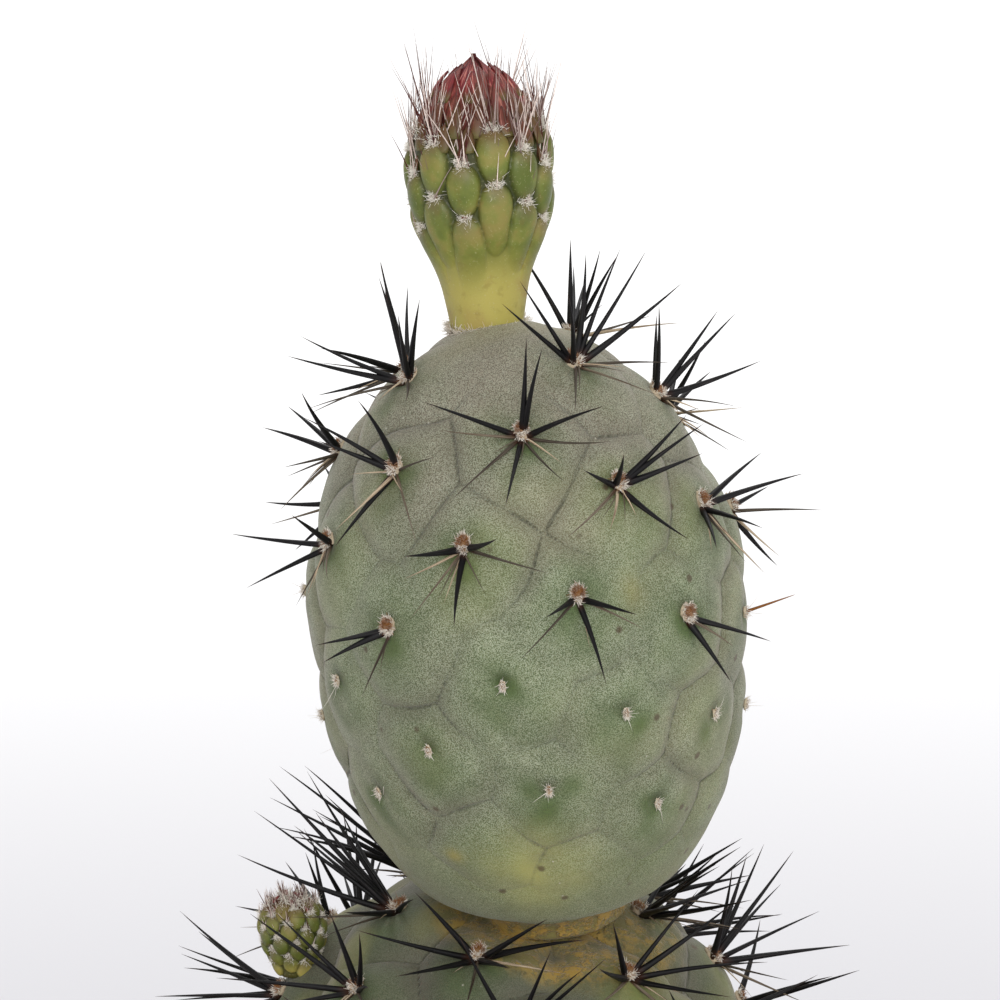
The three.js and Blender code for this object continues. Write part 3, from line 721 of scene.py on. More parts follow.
def skin(joint, foot, material, masks):
    """A joint's skin on its lathed egg, which stands on the given [radius, height] rows."""
    low = math.asin((joint["cut"] + 0.5) / joint["base_length"])
    angle = np.linspace(low, math.pi / 2, 400)
    height = np.sin(angle) * np.where(angle > 0, joint["top_length"], joint["base_length"])
    egg = np.stack([joint_radius(joint, height), height], -1)
    grid = to_world(joint, lathe(resampled(np.concatenate([foot, egg]), SKIN_ROWS), SKIN_COLUMNS))
    flat = grid.reshape(-1, 3)
    height = to_local(joint, flat)[:, 2]
    _, edge = cells(joint, flat)
    strength = furrow_strength(flat)
    ends = smooth(joint["cut"] + 4, joint["cut"] + 20, height) * smooth(
        joint["top_length"] + 1, joint["top_length"] - 4, height)

    def near(*shape):
        return around_areoles(flat, joint, *shape)

    relief = skin_relief(joint, flat) - 0.5 * near(1.5, 1.3, 1.2, 0.2)
    moved = flat + ring_normals(grid).reshape(-1, 3) * relief[:, None]
    halo = near(4.2, 2.9, 2.3, 0.5, 0.55) * 0.85 + near(9.0, 7.0, 6.0, 1.0) * 0.26
    pile = Pile()
    pile.add_closed(
        moved.reshape(grid.shape),
        edge=edge,
        # furrow sets how strongly shade is painted in and beside the furrows
        furrow=strength * ends * (0.25 + 0.75 * furrow_fade(joint, height)),
        halo=np.clip(halo * (0.85 + 0.35 * field(flat, 4, 23)), 0, 0.85),
        # painted shade just above each areole, at the upper edge of its dimple
        crest=near(0.7, 1.3, 0.8, -1.3) * 0.75,
        **masks(flat, height, np.exp(-(edge / 2.1) ** 2) * strength),
    )
    pile.build(f"{joint['name']}_skin", material, "skin", [f"{joint['name']}_joint"])


cut, neck = UPPER["cut"], NECK["radius"]
upper_foot = rounded([[0.2, cut - 3.2], [neck - 1.5, cut - 3.2], [neck, cut - 2.4], [neck + 0.3, cut - 1.4],
                      [neck + 1.6, cut - 0.55], [neck + 3.2, cut - 0.1]], 2)
skin(UPPER, upper_foot, upper_paint, upper_masks)
skin(LOWER, [[0.2, LOWER["cut"] + 0.3]], lower_shaded_paint, lower_masks)


def settled(joint, index):
    """An areole's spot moved onto the tubercle that carries it."""
    spot = areole(joint, index)
    spot.point = spot.point + spot.normal * float(skin_relief(joint, spot.point[None])[0])
    return spot


# ---- spines ----
def inside_joint(joint, points, margin):
    local = to_local(joint, points)
    height = local[:, 2]
    within = (height > joint["cut"] - margin) & (height < joint["top_length"] + margin)
    return within & (off_axis(local) < joint_radius(joint, height) + margin)


def inside_bud(stand, bud, points, margin):
    local = stand.local(points)
    within = (local[:, 2] < bud["height"] + margin) & (local[:, 2] > -margin)
    return within & (off_axis(local) < bud["radius"] + margin)


def inside_neck(points, margin):
    local = to_local(UPPER, points)
    within = np.abs(local[:, 2] - UPPER["cut"]) < NECK["length"] + margin
    return within & (off_axis(local) < NECK["radius"] + margin)


def blocked(points):
    off = SPINE["off"]
    return bool(np.any(inside_joint(UPPER, points, off) | inside_joint(LOWER, points, off)
                       | inside_neck(points, off) | inside_bud(bud_stand, BUD, points, off)
                       | inside_bud(side_stand, SIDE, points, off)
                       | (points[:, 2] < SOIL_TOP + SPINE["above_soil"])))


grown = []


def too_near(cluster, foot, tip, thick):
    """Whether a spine would touch one that has grown on another areole."""
    others = [spine for spine in grown if spine[0] != cluster]
    if not others:
        return False
    feet, tips, thicks = (np.array(part) for part in list(zip(*others))[1:])
    t = np.linspace(0, 1, 21)[:, None]
    points = foot + t * (tip - foot)
    line = tips - feet
    along = np.clip(np.einsum("pmk,mk->pm", points[:, None] - feet[None], line) / (line ** 2).sum(1), 0, 1)
    nearest = feet[None] + along[..., None] * line[None]
    thickness = thick * (1 - t) + thicks * (1 - along)
    return bool((np.linalg.norm(points[:, None] - nearest, axis=-1) - thickness).min() <= GAP)


def fan_for(joint, index):
    youngest = max(first for first in joint["fans"] if first <= index)
    side = 1 if youngest == index or index % 2 == 0 else -1
    return [(side * clock, lift, length, kind) for clock, lift, length, kind in joint["fans"][youngest]]


def grow_spines(joint, index):
    """The spines of one areole as (tip, kind, clock), each turned aside where it would touch."""
    spot, cluster, found = areole(joint, index), (joint["name"], index), []
    foot = spot.point + spot.normal * (GAP + 0.6)
    for clock, lift, length, kind in fan_for(joint, index):
        for attempt in range(SPINE["tries"] + 1):
            aside = math.ceil(attempt / 2) * (-1 if attempt % 2 == 0 else 1)
            turned = clock + aside * SPINE["turn_aside"]
            tip = foot + spot.direction(turned, lift) * length
            steps = foot + np.arange(0.25, 1.01, 0.125)[:, None] * (tip - foot)
            if not blocked(steps) and not too_near(cluster, foot, tip, SPINE[kind]):
                grown.append((cluster, foot, tip, SPINE[kind]))
                found.append((tip, kind, turned))
                break
    return found


# A spine's thickness along it: a swollen foot and a long sharp point.
AWL = (np.array([0, 0.06, 0.18, 0.5, 0.75, 0.92, 1]), np.array([0.84, 1.0, 0.92, 0.62, 0.35, 0.14, 0.02]))


def spine_piece(joint, index, number, rng):
    """One areole's fan of slightly bowed spines, with a few short hair-thin ones under it."""
    found = grow_spines(joint, index)
    spot = settled(joint, index)
    steps, sides = 12, 8
    t = np.linspace(0, 1, steps)
    lines, radii, tones = [], [], []
    for tip, kind, clock in found:
        around = math.radians(clock)
        foot = spot.point - spot.normal * 0.25 + 0.5 * (
            spot.right * math.sin(around) + spot.tipward * (math.cos(around) - 0.6))
        line = tip - foot
        bow = np.cross(unit(line), rng.normal(size=3)) * 0.05 - spot.normal * 0.035
        lines.append(foot + t[:, None] * line + (t * t - t)[:, None] * bow * np.linalg.norm(line))
        thick = rng.uniform(0.38, 0.52) if kind == "stout" else rng.uniform(0.19, 0.27)
        radii.append(thick * np.interp(t, *AWL))
        tones.append(0.0 if kind == "stout" else rng.choice([0.12, 0.3, 0.85], p=[0.5, 0.2, 0.3]))
    for _ in range(3 if index < 12 else 1):
        line = spot.direction(180 + rng.uniform(-70, 70), rng.uniform(9, 24)) * rng.uniform(4, 8)
        foot = spot.point - spot.tipward * 0.6 + spot.right * rng.uniform(-0.4, 0.4)
        lines.append(foot + t[:, None] * line - (t * t - t)[:, None] * spot.normal * 0.8)
        radii.append(rng.uniform(0.11, 0.17) * np.interp(t, *AWL))
        tones.append(rng.choice([0.2, 0.8, 1.0]))
    lines, count = np.array(lines), len(lines)
    points, faces, along, turn = strands(lines, np.array(radii), sides)
    length = np.linalg.norm(lines[:, -1] - lines[:, 0], axis=1)
    # each spine's own place in the streak noise, which is stretched along it
    across = np.cos(turn) * 0.5 + 3.0 * np.arange(count)[:, None, None]
    stretched = t[None, :, None] * length[:, None, None] * 0.05
    lengthwise = np.stack(np.broadcast_arrays(across, np.sin(turn) * 0.5, stretched), -1).reshape(-1, 3) * MM
    pile = Pile()
    pile.add(points, faces, along=along, tone=np.repeat(tones, steps * sides), lengthwise=lengthwise)
    label = f"{joint['name']}_spines_{number:02d}"
    pile.build(f"{label}_fan", spine_paint, "spines", [label])


# ---- felt pads, wool and bristles of the areoles ----
def fibres(pile, roots, directions, lengths, thickness, tones, rng, curl=0.35, steps=4):
    count = len(roots)
    t = np.linspace(0, 1, steps)
    sway = rng.normal(size=(count, 1, 3)) * curl
    lines = roots[:, None] + np.reshape(lengths, (-1, 1, 1)) * (
        t[None, :, None] * directions[:, None] + (t * t)[None, :, None] * sway)
    radii = np.broadcast_to(thickness, count)[:, None] * (1 - 0.85 * t ** 1.5)[None]
    points, faces, _, _ = strands(lines, radii, 3)
    pile.add(points, faces, tone=np.repeat(np.broadcast_to(tones, count), steps * 3))


def felt_pad(pile, spot, across, along, thick, seed, pale):
    """A lumpy felted cushion on an areole, brown at its upper end and pale round it."""
    rows, columns = 9, 16
    rise = np.linspace(-0.5, 1, rows)[:, None] * math.pi / 2
    turn = np.linspace(0, 2 * math.pi, columns, endpoint=False)
    ball = np.stack([np.cos(rise) * np.cos(turn), np.cos(rise) * np.sin(turn), np.sin(rise) + 0 * turn], -1)
    ball[-1] *= np.array([0.01, 0.01, 1])
    lumps = 1 + 0.2 * field(ball, 0.8, seed)[..., None]
    shape = ball * lumps * np.array([across, along, thick])
    world = (spot.point + shape[..., :1] * spot.right + shape[..., 1:2] * spot.tipward
             + shape[..., 2:] * spot.normal)
    rim = smooth(0.75, 1.0, off_axis(ball))
    pile.add_closed(world, tone=np.clip(pale + 0.1 + 0.7 * rim - 0.5 * ball[..., 1] * (1 - rim), 0, 1))


def areole_growth(joint, index, wool, pads, rng):
    """An areole's pad and wool, with brown glochids on a spiny one and long hairs on a bare one."""
    spot = settled(joint, index)
    bare = index > joint["spiny"][1]
    across, along, thick = (0.38, 0.8, 0.3) if bare else (0.9, 1.22, 0.8)
    if not bare:
        spot.point = spot.point + spot.tipward * 0.35
    felt_pad(pads, spot, across, along, thick, 300 + index, 0.25 if bare else 0.0)
    count = 80 if bare else 260
    turn, reach = rng.uniform(0, 2 * math.pi, count), np.sqrt(rng.uniform(0.1, 1, count))
    rim = reach > 0.82
    side, up = reach * np.cos(turn), reach * np.sin(turn)
    roots = (spot.point + spot.normal * (thick * 0.9 * np.sqrt(1 - 0.95 * reach ** 2) - 0.05)[:, None]
             + (side * across)[:, None] * spot.right + (up * along)[:, None] * spot.tipward)
    lean = unit(spot.normal * np.where(rim, 0.7, 1.3)[:, None] + (side * 0.9)[:, None] * spot.right
                + (up * 0.8)[:, None] * spot.tipward)
    glochid = (up > -0.25) & ~rim & (not bare)
    lengths = np.where(glochid, rng.uniform(0.25, 0.6, count), rng.uniform(0.3, 0.65, count))
    tones = np.where(glochid, rng.uniform(0, 0.3, count), rng.uniform(0.7, 1, count))
    tones = np.where((not bare) & (rng.uniform(size=count) < 0.12), 0.05, tones)
    scale, thickness = (0.8, 0.055) if bare else (1, 0.07)
    fibres(wool, roots, lean, lengths * scale, thickness, tones, rng, curl=0.45)
    if bare:
        roots = spot.point + rng.normal(size=(2, 1)) * 0.3 * spot.right
        lean = unit(spot.normal + rng.normal(size=(2, 3)) * 0.7)
        fibres(wool, roots, lean, rng.uniform(1.5, 4.5, 2), 0.045, 0.9, rng, curl=0.15)
    if joint is UPPER and index == LONE_SPINE:
        lean = unit(spot.normal[None] + 0.35 * spot.tipward + 0.1 * spot.right)
        fibres(wool, spot.point[None], lean, 7.0, 0.24, -0.2, rng, curl=0.02, steps=8)


for joint in (UPPER, LOWER):
    rng = np.random.default_rng(joint["seed"])
    first, last = joint["spiny"]
    for number, index in enumerate(range(first, last + 1), 1):
        spine_piece(joint, index, number, rng)
    wool, pads = Pile(), Pile()
    for index in range(first, joint["last_above_soil"] + 1):
        if joint is UPPER or not inside_neck(areole(joint, index).point[None], 1.5)[0]:
            areole_growth(joint, index, wool, pads, rng)
    wool.build(f"{joint['name']}_areole_wool", wool_paint, "spines")
    pads.build(f"{joint['name']}_areole_pads", pad_paint, "spines")


# ---- the flower bud and the side bud ----
def areole_layout(lowest, rise, count, start, divergence):
    """Azimuth and height of each areole on a bud, from its lowest one up."""
    index = np.arange(count)
    return np.radians(start + divergence * index), lowest + rise * index


def knobby(profile, columns, azimuths, heights, half_width, body, swell):
    """A lathe grid, how it swells into close-set tubercles that each end below their areole, how high
    each point is on its tubercle, and how far it is from the nearest areole."""
    grid = lathe(profile, columns)
    turn = np.arctan2(grid[..., 0], -grid[..., 1])
    radius, level = off_axis(grid), grid[..., 2]
    first, second = np.full(level.shape, 99.0), np.full(level.shape, 99.0)
    top = np.full(level.shape, 9.0)
    for azimuth, areole_level in zip(azimuths, heights):
        middle = areole_level - 1.05 * half_width
        side = ((turn - azimuth + math.pi) % (2 * math.pi) - math.pi) * radius / half_width
        reach = np.where(level > middle, 1.2 * half_width, body(areole_level) - 1.05 * half_width)
        away = np.hypot(side, (level - middle) / reach)
        second = np.minimum(second, np.maximum(first, away))
        first = np.minimum(first, away)
        top = np.minimum(top, np.hypot(side * half_width, level - areole_level))
    share = np.maximum(2 * first / (first + second), first / 1.12)
    dome = np.sqrt(np.clip(1 - share ** 2.3, 0, 1))
    return grid, swell * dome, dome, top


def bud_body(stand, grid, swell, name, node, **shade):
    pile = Pile()
    pile.add_closed(stand.world(grid + ring_normals(grid) * swell[..., None]), **shade)
    pile.build(name, bud_paint, "bud_green", [node])


def side_radius_at(profile, level):
    """The outer radius at a level of a bud's profile, whose rows go up to its rim first."""
    outer = profile[:profile[:, 1].argmax() + 1]
    return float(np.interp(level, outer[:, 1], outer[:, 0]))


def bud_tufts(stand, azimuths, heights, profile, size, wool, bristles, rng, bristle_count, bristle_length):
    """Each areole's tuft of wool with its bristles."""
    for place, (azimuth, level) in enumerate(zip(azimuths, heights)):
        radius = side_radius_at(profile, level) + 0.55 * size
        root, out, axis = stand.on_side(azimuth, radius, level + 0.2)
        around = np.cross(axis, out)
        count = int(400 * size)
        side, up = rng.normal(size=(2, count)) * np.array([[0.36], [0.46]]) * size
        roots = root + side[:, None] * around + up[:, None] * axis - out * 0.25
        lean = unit(out + rng.normal(size=(count, 3)) * 0.5 + axis * 0.4)
        fibres(wool, roots, lean, rng.uniform(0.25, 0.6, count) * size, 0.05 * size + 0.01,
               rng.uniform(0.9, 1.1, count), rng, curl=0.8, steps=3)
        count = bristle_count(place)
        roots = root + rng.normal(size=(count, 3)) * 0.35 * size - out * 0.3
        outward, aside = rng.uniform(-0.25, 0.34, (count, 1)), rng.normal(size=(count, 1)) * 0.27
        lengths = rng.uniform(0.55, 1.0, count) * bristle_length(place)
        thickness = rng.uniform(0.07, 0.12, count) * (0.4 + 0.6 * size)
        fibres(bristles, roots, unit(axis + out * outward + around * aside), lengths, thickness,
               rng.choice([0.0, 0.15, 0.4, 0.8, 1.0], size=count), rng, curl=0.05, steps=6)


VEIN_AND_GLINT_STRETCH = 0.12


def add_lengthwise(pile, rows, columns, width, length):
    """Gives each blade of a pile its own place in the vein and glint noise, stretched along the blade."""
    along = np.concatenate(pile.attributes["along"])
    across = np.concatenate(pile.attributes["across"])
    number = np.arange(len(along)) // (2 * rows * columns)
    vectors = np.stack([across * width, number * 3.7, along * length * VEIN_AND_GLINT_STRETCH], -1) * MM
    pile.attributes["lengthwise"] = [vectors]


LEAF_ROWS, LEAF_COLUMNS = 10, 7


def scale_leaf(pile, stand, azimuth, radius, level, length, width, lean, brown):
    t = np.linspace(0, 1, LEAF_ROWS)
    across = np.linspace(-1, 1, LEAF_COLUMNS)
    foot, out, axis = stand.on_side(azimuth, radius, level)
    bend = math.radians(lean) - 0.5 * t
    reach = np.cumsum(np.sin(bend)) / LEAF_ROWS * length
    rise = np.cumsum(np.cos(bend)) / LEAF_ROWS * length
    half = width * np.interp(t, [0, 0.25, 0.7, 1], [0.8, 1, 0.62, 0.04])
    grid = (foot + reach[:, None, None] * out + rise[:, None, None] * axis
            + (half[:, None] * across)[..., None] * np.cross(axis, out)
            - ((across ** 2) * half[:, None] * 0.35)[..., None] * out)
    blade(pile, grid, 0.3, brown)


TUBE_ROWS, TUBE_COLUMNS = 260, 280
rng = np.random.default_rng(17)
bud_azimuths, bud_heights = areole_layout(13.5, 0.52, 26, -69.4, 138.46)
tube_profile = rounded([[0.2, -2.4], [4.7, -2.4], [4.75, 0.3], [5.2, 3], [5.8, 6], [6.6, 9], [7.5, 12],
                        [8.1, 15], [8.5, 18.5], [8.5, 21.5], [8.2, 24.3], [7.5, 26.0], [6.9, 26.6],
                        [6.3, 26.2], [6.1, 24], [5.6, 22.6], [0.2, 22.4]], 3)
tube, swell, dome, top = knobby(
    resampled(tube_profile, TUBE_ROWS), TUBE_COLUMNS, bud_azimuths, bud_heights, 2.0,
    lambda level: 6.0 + 2.4 * (level < 19.4) + 3.0 * (level < 15.9), 1.3)
level = tube[..., 2]
inside_cup = (np.arange(TUBE_ROWS) > 190)[:, None] & (off_axis(tube) < 6.9)
bud_body(bud_stand, tube, np.where(inside_cup, 0, swell) * smooth(4.5, 15.5, level),
         "bud_tube", "flower_bud_tube",
         neck=smooth(13.5, 3.4, level + 1.4 * (dome - 0.5)) * 0.95,
         shoulder=np.clip(np.exp(-(top / 1.5) ** 2) * 0.7, 0, 1) * (level > 9),
         # cleft: painted shade between the tubercles
         cleft=np.clip(1 - dome / 0.62, 0, 1) * smooth(8, 18, level) * 0.85,
         ripe=smooth(23, 27, level) * 0.7)

bud_wool, bristles = Pile(), Pile()
bud_tufts(bud_stand, bud_azimuths, bud_heights, tube_profile, 1.0, bud_wool, bristles, rng,
          lambda place: 3 + (place > 5) * 2 + (place > 10) * 4 + (place > 15) * 5,
          lambda place: 4.2 + 0.42 * min(place, 20))
for radius, low, high in ((4.8, -1.0, 0.2), (5.0, -0.8, 0.4)):  # the wool round the bud's foot
    count = 420
    turn = rng.uniform(0, 2 * math.pi, count)
    roots = bud_stand.world(about_axis(turn, radius, rng.uniform(low, high, count)))
    lean = bud_stand.lean(about_axis(turn, 1, rng.uniform(0.0, 1.2, count)))
    fibres(bud_wool, roots, lean, rng.uniform(0.45, 1.05, count), 0.06,
           rng.uniform(0.6, 1, count), rng, curl=0.6)
count = 120  # long bristles between the scale leaves of the rim
turn = rng.uniform(0, 2 * math.pi, count)
roots = about_axis(turn, rng.uniform(6.8, 8.4, count), rng.uniform(24.0, 26.6, count))
lean = about_axis(turn, -0.2, 1) + rng.normal(size=(count, 3)) * 0.22
fibres(bristles, bud_stand.world(roots), bud_stand.lean(lean), rng.uniform(4.5, 9.0, count),
       rng.uniform(0.06, 0.1, count), rng.choice([0.0, 0.1, 0.3, 0.8, 1.0], size=count), rng,
       curl=0.05, steps=6)
count = 1300  # a patchy thatch of wool on the rim
turn = rng.uniform(0, 2 * math.pi, count)
roots = about_axis(turn, rng.uniform(6.6, 8.6, count), rng.uniform(24.6, 26.9, count))
lean = about_axis(turn, 0.5, 1) + rng.normal(size=(count, 3)) * 0.6
thatch = field(np.stack([np.sin(turn) * 8, np.cos(turn) * 8, 0 * turn], -1), 3.5, 77) > 0.1
kept = thatch.sum()
fibres(bud_wool, bud_stand.world(roots)[thatch], bud_stand.lean(lean)[thatch],
       rng.uniform(0.4, 0.95, kept), 0.06, rng.uniform(0.85, 1.1, kept), rng, curl=0.7)
bristles.build("bud_bristles", bristle_paint, "spines")

PETAL_ROWS, PETAL_COLUMNS = 22, 13


def petal(pile, azimuth, half_width, inset, foot, tip, twist, lift, brown):
    """A tepal wrapped round the closed flower, drawn in by inset from the flower's outline."""
    t = np.linspace(0, 1, PETAL_ROWS)[:, None]
    across = np.linspace(-1, 1, PETAL_COLUMNS)
    level = foot + (tip - foot) * t
    outline = np.interp(level, [22.3, 26.3, 28.6, 30.7, 32.6, 34.2, 35.3],
                        [5.5, 6.1, 6.1, 5.1, 3.4, 1.6, 0.3])
    spread = half_width * np.clip(1 - t ** 3.2, 0.02, 1) ** 0.75
    angle = azimuth + math.radians(twist) * t + spread * across
    radius = np.maximum(outline - inset, 0.12)
    radius = radius + lift * (across ** 2) * np.sin(math.pi * t) + 0.18 * (1 - across ** 2)
    blade(pile, bud_stand.world(about_axis(angle, radius, level)), 0.28, brown)


for place in range(5):
    pile = Pile()
    petal(pile, math.radians(72 * place), 0.86, 0.0, 22.4, 33.9 + 0.25 * (place % 3), 16, 0.16, 0.22)
    add_lengthwise(pile, PETAL_ROWS, PETAL_COLUMNS, 3.0, 12)
    pile.build(f"outer_petal_{place + 1}", petal_paint, "tepals", [f"outer_tepal_{place + 1}"])
inner = Pile()
for whorl, (inset, tip, width) in enumerate(((0.45, 34.9, 0.95), (0.85, 35.3, 1.0), (1.3, 35.1, 1.1))):
    for place in range(4):
        petal(inner, math.radians(90 * place + 36 + 31 * whorl), width, inset, 22.5, tip, 24, 0.1, 0.0)
add_lengthwise(inner, PETAL_ROWS, PETAL_COLUMNS, 3.0, 12)
inner.build("inner_petals", petal_paint, "tepals", ["inner_tepals"])

scales = Pile()
for place, (azimuth, level) in enumerate(zip(bud_azimuths, bud_heights)):
    young = place / len(bud_heights)
    if place < 8:
        length, width = rng.uniform(0.9, 1.5), 0.45
    else:
        length, width = 1.6 + 3.4 * young ** 1.3 * rng.uniform(0.85, 1.15), 0.6 + 0.4 * young
    radius = side_radius_at(tube_profile, level) + 0.75 - 0.2 * young
    scale_leaf(scales, bud_stand, azimuth, radius, level - 0.1, length, width, 10 - 24 * young,
               rng.uniform(0.35, 0.95))
for count, radius, foot, length, lean, brown in (
        (13, 9.0, 23.4, 4.6, -6, 1.0), (13, 8.3, 25.0, 5.3, -9, 0.8), (12, 7.3, 26.4, 6.0, -11, 0.5),
        (9, 6.35, 28.2, 5.0, -19, 0.15), (8, 6.25, 29.3, 5.0, -21, 0.1)):
    for place in range(count):
        azimuth = 2 * math.pi * (place + rng.uniform(-0.2, 0.2)) / count + radius
        scale_leaf(scales, bud_stand, azimuth, radius, foot, length * rng.uniform(0.85, 1.12),
                   rng.uniform(1.0, 1.4), lean, min(1.0, brown * rng.uniform(0.5, 1.3)))
add_lengthwise(scales, LEAF_ROWS, LEAF_COLUMNS, 1.2, 6)
scales.build("bud_scales", petal_paint, "tepals")

side_profile = rounded([[0.1, 0], [2.5, 0], [2.8, 1.6], [3.5, 3.4], [4.05, 5.2], [4.2, 7], [3.8, 8.8],
                        [2.7, 10.1], [1.2, 10.9], [0.1, 11.0]], 3)
side_azimuths, side_heights = areole_layout(2.4, 0.215, 40, 20, 137.5)
side_grid, swell, dome, top = knobby(resampled(side_profile, 150), 180, side_azimuths, side_heights, 0.98,
                                     lambda level: 2.2, 0.6)
level = side_grid[..., 2]
bud_body(side_stand, side_grid, swell * smooth(11.2, 9, level), "side_bud_body", "side_bud",
         neck=smooth(3.2, 1.5, level) * 0.8, shoulder=np.exp(-(top / 0.9) ** 2) * 0.6,
         # cleft: painted shade between the tubercles
         cleft=np.clip(1 - dome / 0.6, 0, 1) * 0.85, ripe=smooth(8.2, 10.4, level) * 0.6)
side_wool, side_bristles, side_scales = Pile(), Pile(), Pile()
bud_tufts(side_stand, side_azimuths, side_heights, side_profile, 0.62, side_wool, side_bristles, rng,
          lambda place: 2 + (place > 12) * 3 + (place > 28) * 6, lambda place: 1.3 + 0.03 * place)
count = 900  # the woolly crown
turn, reach = rng.uniform(0, 2 * math.pi, count), 3.4 * np.sqrt(rng.uniform(0, 1, count))
crown = about_axis(turn, reach, 10.9 - 0.16 * reach ** 2)
lean = about_axis(turn, reach * 0.2, 1)
thatch = field(crown, 1.8, 78) > -0.25
kept = thatch.sum()
roots = side_stand.world(crown)
fibres(side_wool, roots[thatch], side_stand.lean(lean + rng.normal(size=(count, 3)) * 0.5)[thatch],
       rng.uniform(0.4, 1.0, kept), 0.06, rng.uniform(0.85, 1.1, kept), rng, curl=0.6)
lean = lean + rng.normal(size=(count, 3)) * 0.35
count = 150
fibres(side_bristles, roots[:count], side_stand.lean(lean[:count]), rng.uniform(0.8, 1.9, count), 0.055,
       rng.choice([0.0, 0.1, 0.3, 0.9], size=count), rng, curl=0.1)
for place, (azimuth, level) in enumerate(zip(side_azimuths, side_heights)):
    if place > 7:
        scale_leaf(side_scales, side_stand, azimuth, side_radius_at(side_profile, level) + 0.3, level,
                   0.9 + 0.03 * place, 0.36, 6 - 1.2 * place, rng.uniform(0, 0.4))
add_lengthwise(side_scales, LEAF_ROWS, LEAF_COLUMNS, 0.8, 3)
side_bristles.build("side_bud_bristles", bristle_paint, "spines")
side_scales.build("side_bud_scales", petal_paint, "tepals")
bud_wool.build("bud_wool", wool_paint, "spines")
side_wool.build("side_bud_wool", wool_paint, "spines")

# ---- pot ----
rim, foot, floor, drain, height = (POT[key] for key in ("rim_radius", "foot", "floor", "drain", "height"))
rim_foot, inner_top = height - POT["rim_height"], rim - POT["wall"]


def pot_piece():
    """A turned closed ring with faint throwing marks and a slightly uneven wall."""
    slope = POT["shoulder"] - foot
    wall = [[foot + slope * t, 1.6 + (rim_foot - 2.4) * t] for t in np.linspace(0.06, 1, 14)]
    corners = [[drain, 0.8], [drain + 0.8, 0.05], [foot - 1.6, 0], [foot - 0.3, 0.5], [foot + 0.1, 1.6],
               *wall, [POT["shoulder"] + 0.4, rim_foot - 0.2], [POT["shoulder"] + 1.2, rim_foot + 0.35],
               [rim - 1, rim_foot + 0.8], [rim - 0.2, rim_foot + 2], [rim, rim_foot + 4], [rim, height - 6],
               [rim - 0.1, height - 2.4], [rim - 0.9, height - 0.6], [rim - 2.4, height],
               [inner_top + 1.4, height], [inner_top + 0.3, height - 0.9], [inner_top, height - 3],
               [inner_top - 1, height - 12], [inner_top - 2, rim_foot], [foot - 0.5, floor + 12],
               [foot - 4.6, floor + 0.9], [foot - 7, floor], [drain + 1, floor], [drain, floor - 0.8],
               [drain, 0.8]]
    grid = lathe(resampled(rounded(corners, 2), 260)[:-1], 240)
    rows, columns, _ = grid.shape
    flat = grid.reshape(-1, 3)
    side, level = off_axis(flat), flat[:, 2]
    outside = smooth(1.5, 6, level) * smooth(drain + 3, foot - 2, side)
    spiral = np.sin(2 * math.pi * (level / 5.6) + np.arctan2(flat[:, 0], -flat[:, 1]))
    relief = outside * (0.11 * spiral * (0.6 + 0.4 * field(flat, 30, 81)) + 0.16 * field(flat, 48, 82)
                        + 0.05 * field(flat, 7, 83))
    normals = ring_normals(np.concatenate([grid[-1:], grid, grid[:1]]))[1:-1].reshape(-1, 3)
    faces = ring_faces(rows + 1, columns) % (rows * columns)
    chalk = smooth(26, 4, level) + smooth(rim_foot + 12, height, level) * 0.8
    chalk += 0.35 * np.exp(-((level - rim_foot + 4) / 5) ** 2)
    salt = np.clip(chalk, 0, 0.85) * (0.6 + 0.4 * field(flat, 36, 84))
    damp = np.exp(-((level - 58) / 22) ** 2) * 0.16 * (0.7 + 0.5 * field(flat, 40, 85))
    damp += 0.35 * ((side < inner_top + 0.6) & (level < 97))
    pile = Pile()
    pile.add(flat + normals * relief[:, None], [faces], salt=np.clip(salt, 0, 1), damp=np.clip(damp, 0, 1))
    pile.build("clay_pot", clay_material(), "pot", ["pot"])


pot_piece()


# ---- potting mix ----
def inside_pot(level):
    return float(np.interp(level, [floor, rim_foot, height],
                           [foot - POT["wall"] + 0.5, inner_top - 2, inner_top]))


def mix_body(edge):
    low = floor + 0.3
    profile = rounded([[0.2, low + 3], [5, low + 3], [12, low], [inside_pot(low) - 0.5, low],
                       [inside_pot(60) - 0.5, 60], [edge, SOIL_TOP - 1.6], [edge - 2.5, SOIL_TOP - 0.8],
                       [edge / 2, SOIL_TOP - 0.4], [0.2, SOIL_TOP - 0.4]], 2)
    grid = lathe(resampled(profile, 150), 200)
    flat = grid.reshape(-1, 3)
    crumbs = 0.35 * field(flat, 5, 91) + 0.25 * field(flat, 2.4, 92)
    on_top = np.where(flat[:, 2] > SOIL_TOP - 3, smooth(edge, edge - 4, off_axis(flat)) + 0.1, 0.1)
    moved = flat + ring_normals(grid).reshape(-1, 3) * (crumbs * on_top)[:, None]
    pile = Pile()
    pile.add_closed(moved.reshape(grid.shape))
    pile.build("mix_body", soil_material(), "potting_mix", ["potting_mix"])


def grain_ball():
    """The points and triangles of a round grain of radius 1."""
    shape = bmesh.new()
    bmesh.ops.create_icosphere(shape, subdivisions=2, radius=1)
    shape.verts.index_update()
    points = np.array([vertex.co[:] for vertex in shape.verts])
    triangles = np.array([[vertex.index for vertex in face.verts] for face in shape.faces])
    shape.free()
    return points, triangles


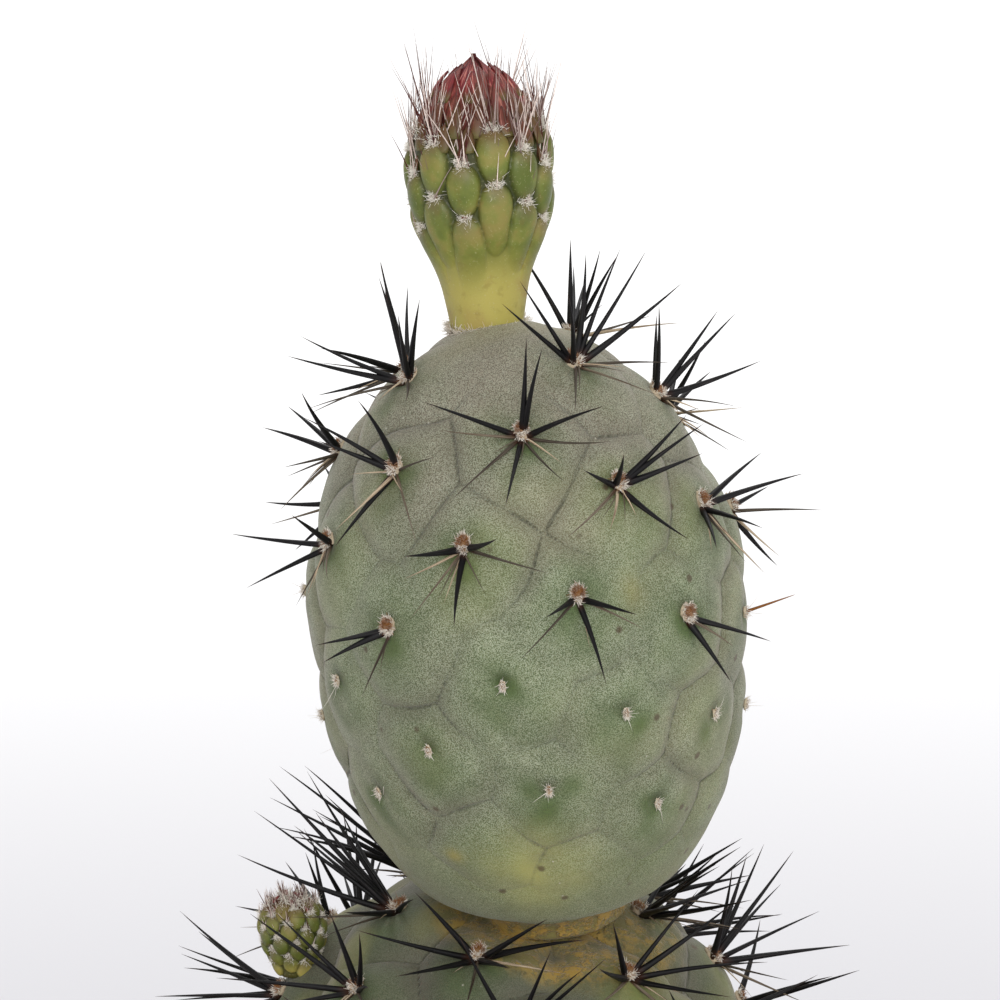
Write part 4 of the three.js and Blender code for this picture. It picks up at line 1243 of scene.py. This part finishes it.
def loose_grains(edge):
    """Chipped grains strewn over the mix up to the plant and the pot, each a ball cut by nine planes."""
    ball, triangles = grain_ball()
    rng = np.random.default_rng(23)
    piles = {"pale_grains": Pile(), "dark_grains": Pile()}
    placed = 0
    while placed < GRAINS:
        turn, reach = rng.uniform(0, 2 * math.pi), edge * math.sqrt(rng.uniform(0, 1))
        x, y = reach * math.sin(turn), -reach * math.cos(turn)
        size = 0.55 + 1.35 * rng.uniform() ** 2.2
        dome = 0.5 * math.cos(0.5 * math.pi * reach / edge)
        level = SOIL_TOP - 0.9 + dome + rng.uniform(-0.2, 0.6) - 0.15 * size
        apart = math.hypot(x - LOWER["centre"][0], y - LOWER["centre"][1])
        stem = float(joint_radius(LOWER, level - LOWER["centre"][2]))
        if apart < stem + 0.3 * size or reach > edge - 0.55 * size:
            continue
        cuts = unit(rng.normal(size=(9, 3)))
        keep = rng.uniform(0.62, 0.95, 9)
        far = np.maximum(np.max((ball @ cuts.T) / keep, axis=1), 0.9)
        body = ball / far[:, None] * rng.uniform(0.75, 1.2, 3) * size
        turned = body @ np.array(Matrix.Rotation(rng.uniform(0, 6.28), 3, Vector(unit(rng.normal(size=3)))))
        name = "pale_grains" if rng.uniform() < 0.42 else "dark_grains"
        tone = rng.uniform(0.55, 1) if name == "pale_grains" else rng.uniform(0, 0.3)
        lava = 0.85 if name == "dark_grains" and rng.uniform() < 0.4 else 0.0
        piles[name].add(turned + np.array([x, y, level]), [triangles], tone=tone, lava=lava)
        placed += 1
    paint = grain_material()
    for name, pile in piles.items():
        pile.build(name, paint, "potting_mix")


mix_edge = inside_pot(SOIL_TOP) - 0.6
mix_body(mix_edge)
loose_grains(mix_edge)

# ---- floor, light and camera ----
scene = bpy.context.scene
floor_mesh = bpy.data.meshes.new("floor")
floor_profile = np.array([[0.5, 0], [300, 0], [900, 0], [2400, 0], [9000, 0]], float)
floor_points, (floor_rings, floor_middle, _) = capped(lathe(floor_profile, 96))
floor_mesh.from_pydata((floor_points * MM).tolist(), [], floor_rings.tolist() + floor_middle.tolist())
floor_mesh.flip_normals()
floor_mesh.materials.append(floor_material())
floor_piece = bpy.data.objects.new("floor", floor_mesh)
scene.collection.objects.link(floor_piece)

scene.view_settings.view_transform = "Standard"
scene.view_settings.look = "None"
world = bpy.data.worlds.new("studio")
world.use_nodes = True
world.node_tree.nodes["Background"].inputs["Color"].default_value = (1, 1, 1, 1)
world.node_tree.nodes["Background"].inputs["Strength"].default_value = 0.45
scene.world = world


def area_light(name, place, aim, size, power):
    light = bpy.data.lights.new(name, "AREA")
    light.shape = "RECTANGLE"
    light.size, light.size_y = size
    light.energy = power
    lamp = bpy.data.objects.new(name, light)
    lamp.location = Vector(place)
    lamp.rotation_euler = (Vector(aim) - lamp.location).to_track_quat("-Z", "Y").to_euler()
    lamp.visible_camera = False
    scene.collection.objects.link(lamp)


target = Vector((-0.0009, -0.008, 0.1952))
area_light("key", (-0.02, -1.26, 0.75), target, (0.7, 0.7), 9.3)
area_light("fill", (1.1, -1.25, 0.75), target, (0.7, 0.7), 5.3)
area_light("backdrop", (0, 1.6, 2.5), (0, 1.6, 0), (3.0, 1.6), 62)

camera_data = bpy.data.cameras.new("camera")
camera_data.lens = 249.2
camera_data.sensor_width = 36
camera_data.clip_end = 50
camera = bpy.data.objects.new("camera", camera_data)
elevation, distance = math.radians(12), 0.9
camera.location = target + distance * Vector((0, -math.cos(elevation), math.sin(elevation)))
camera.rotation_euler = (math.pi / 2 - elevation, 0, 0)
scene.collection.objects.link(camera)
scene.camera = camera
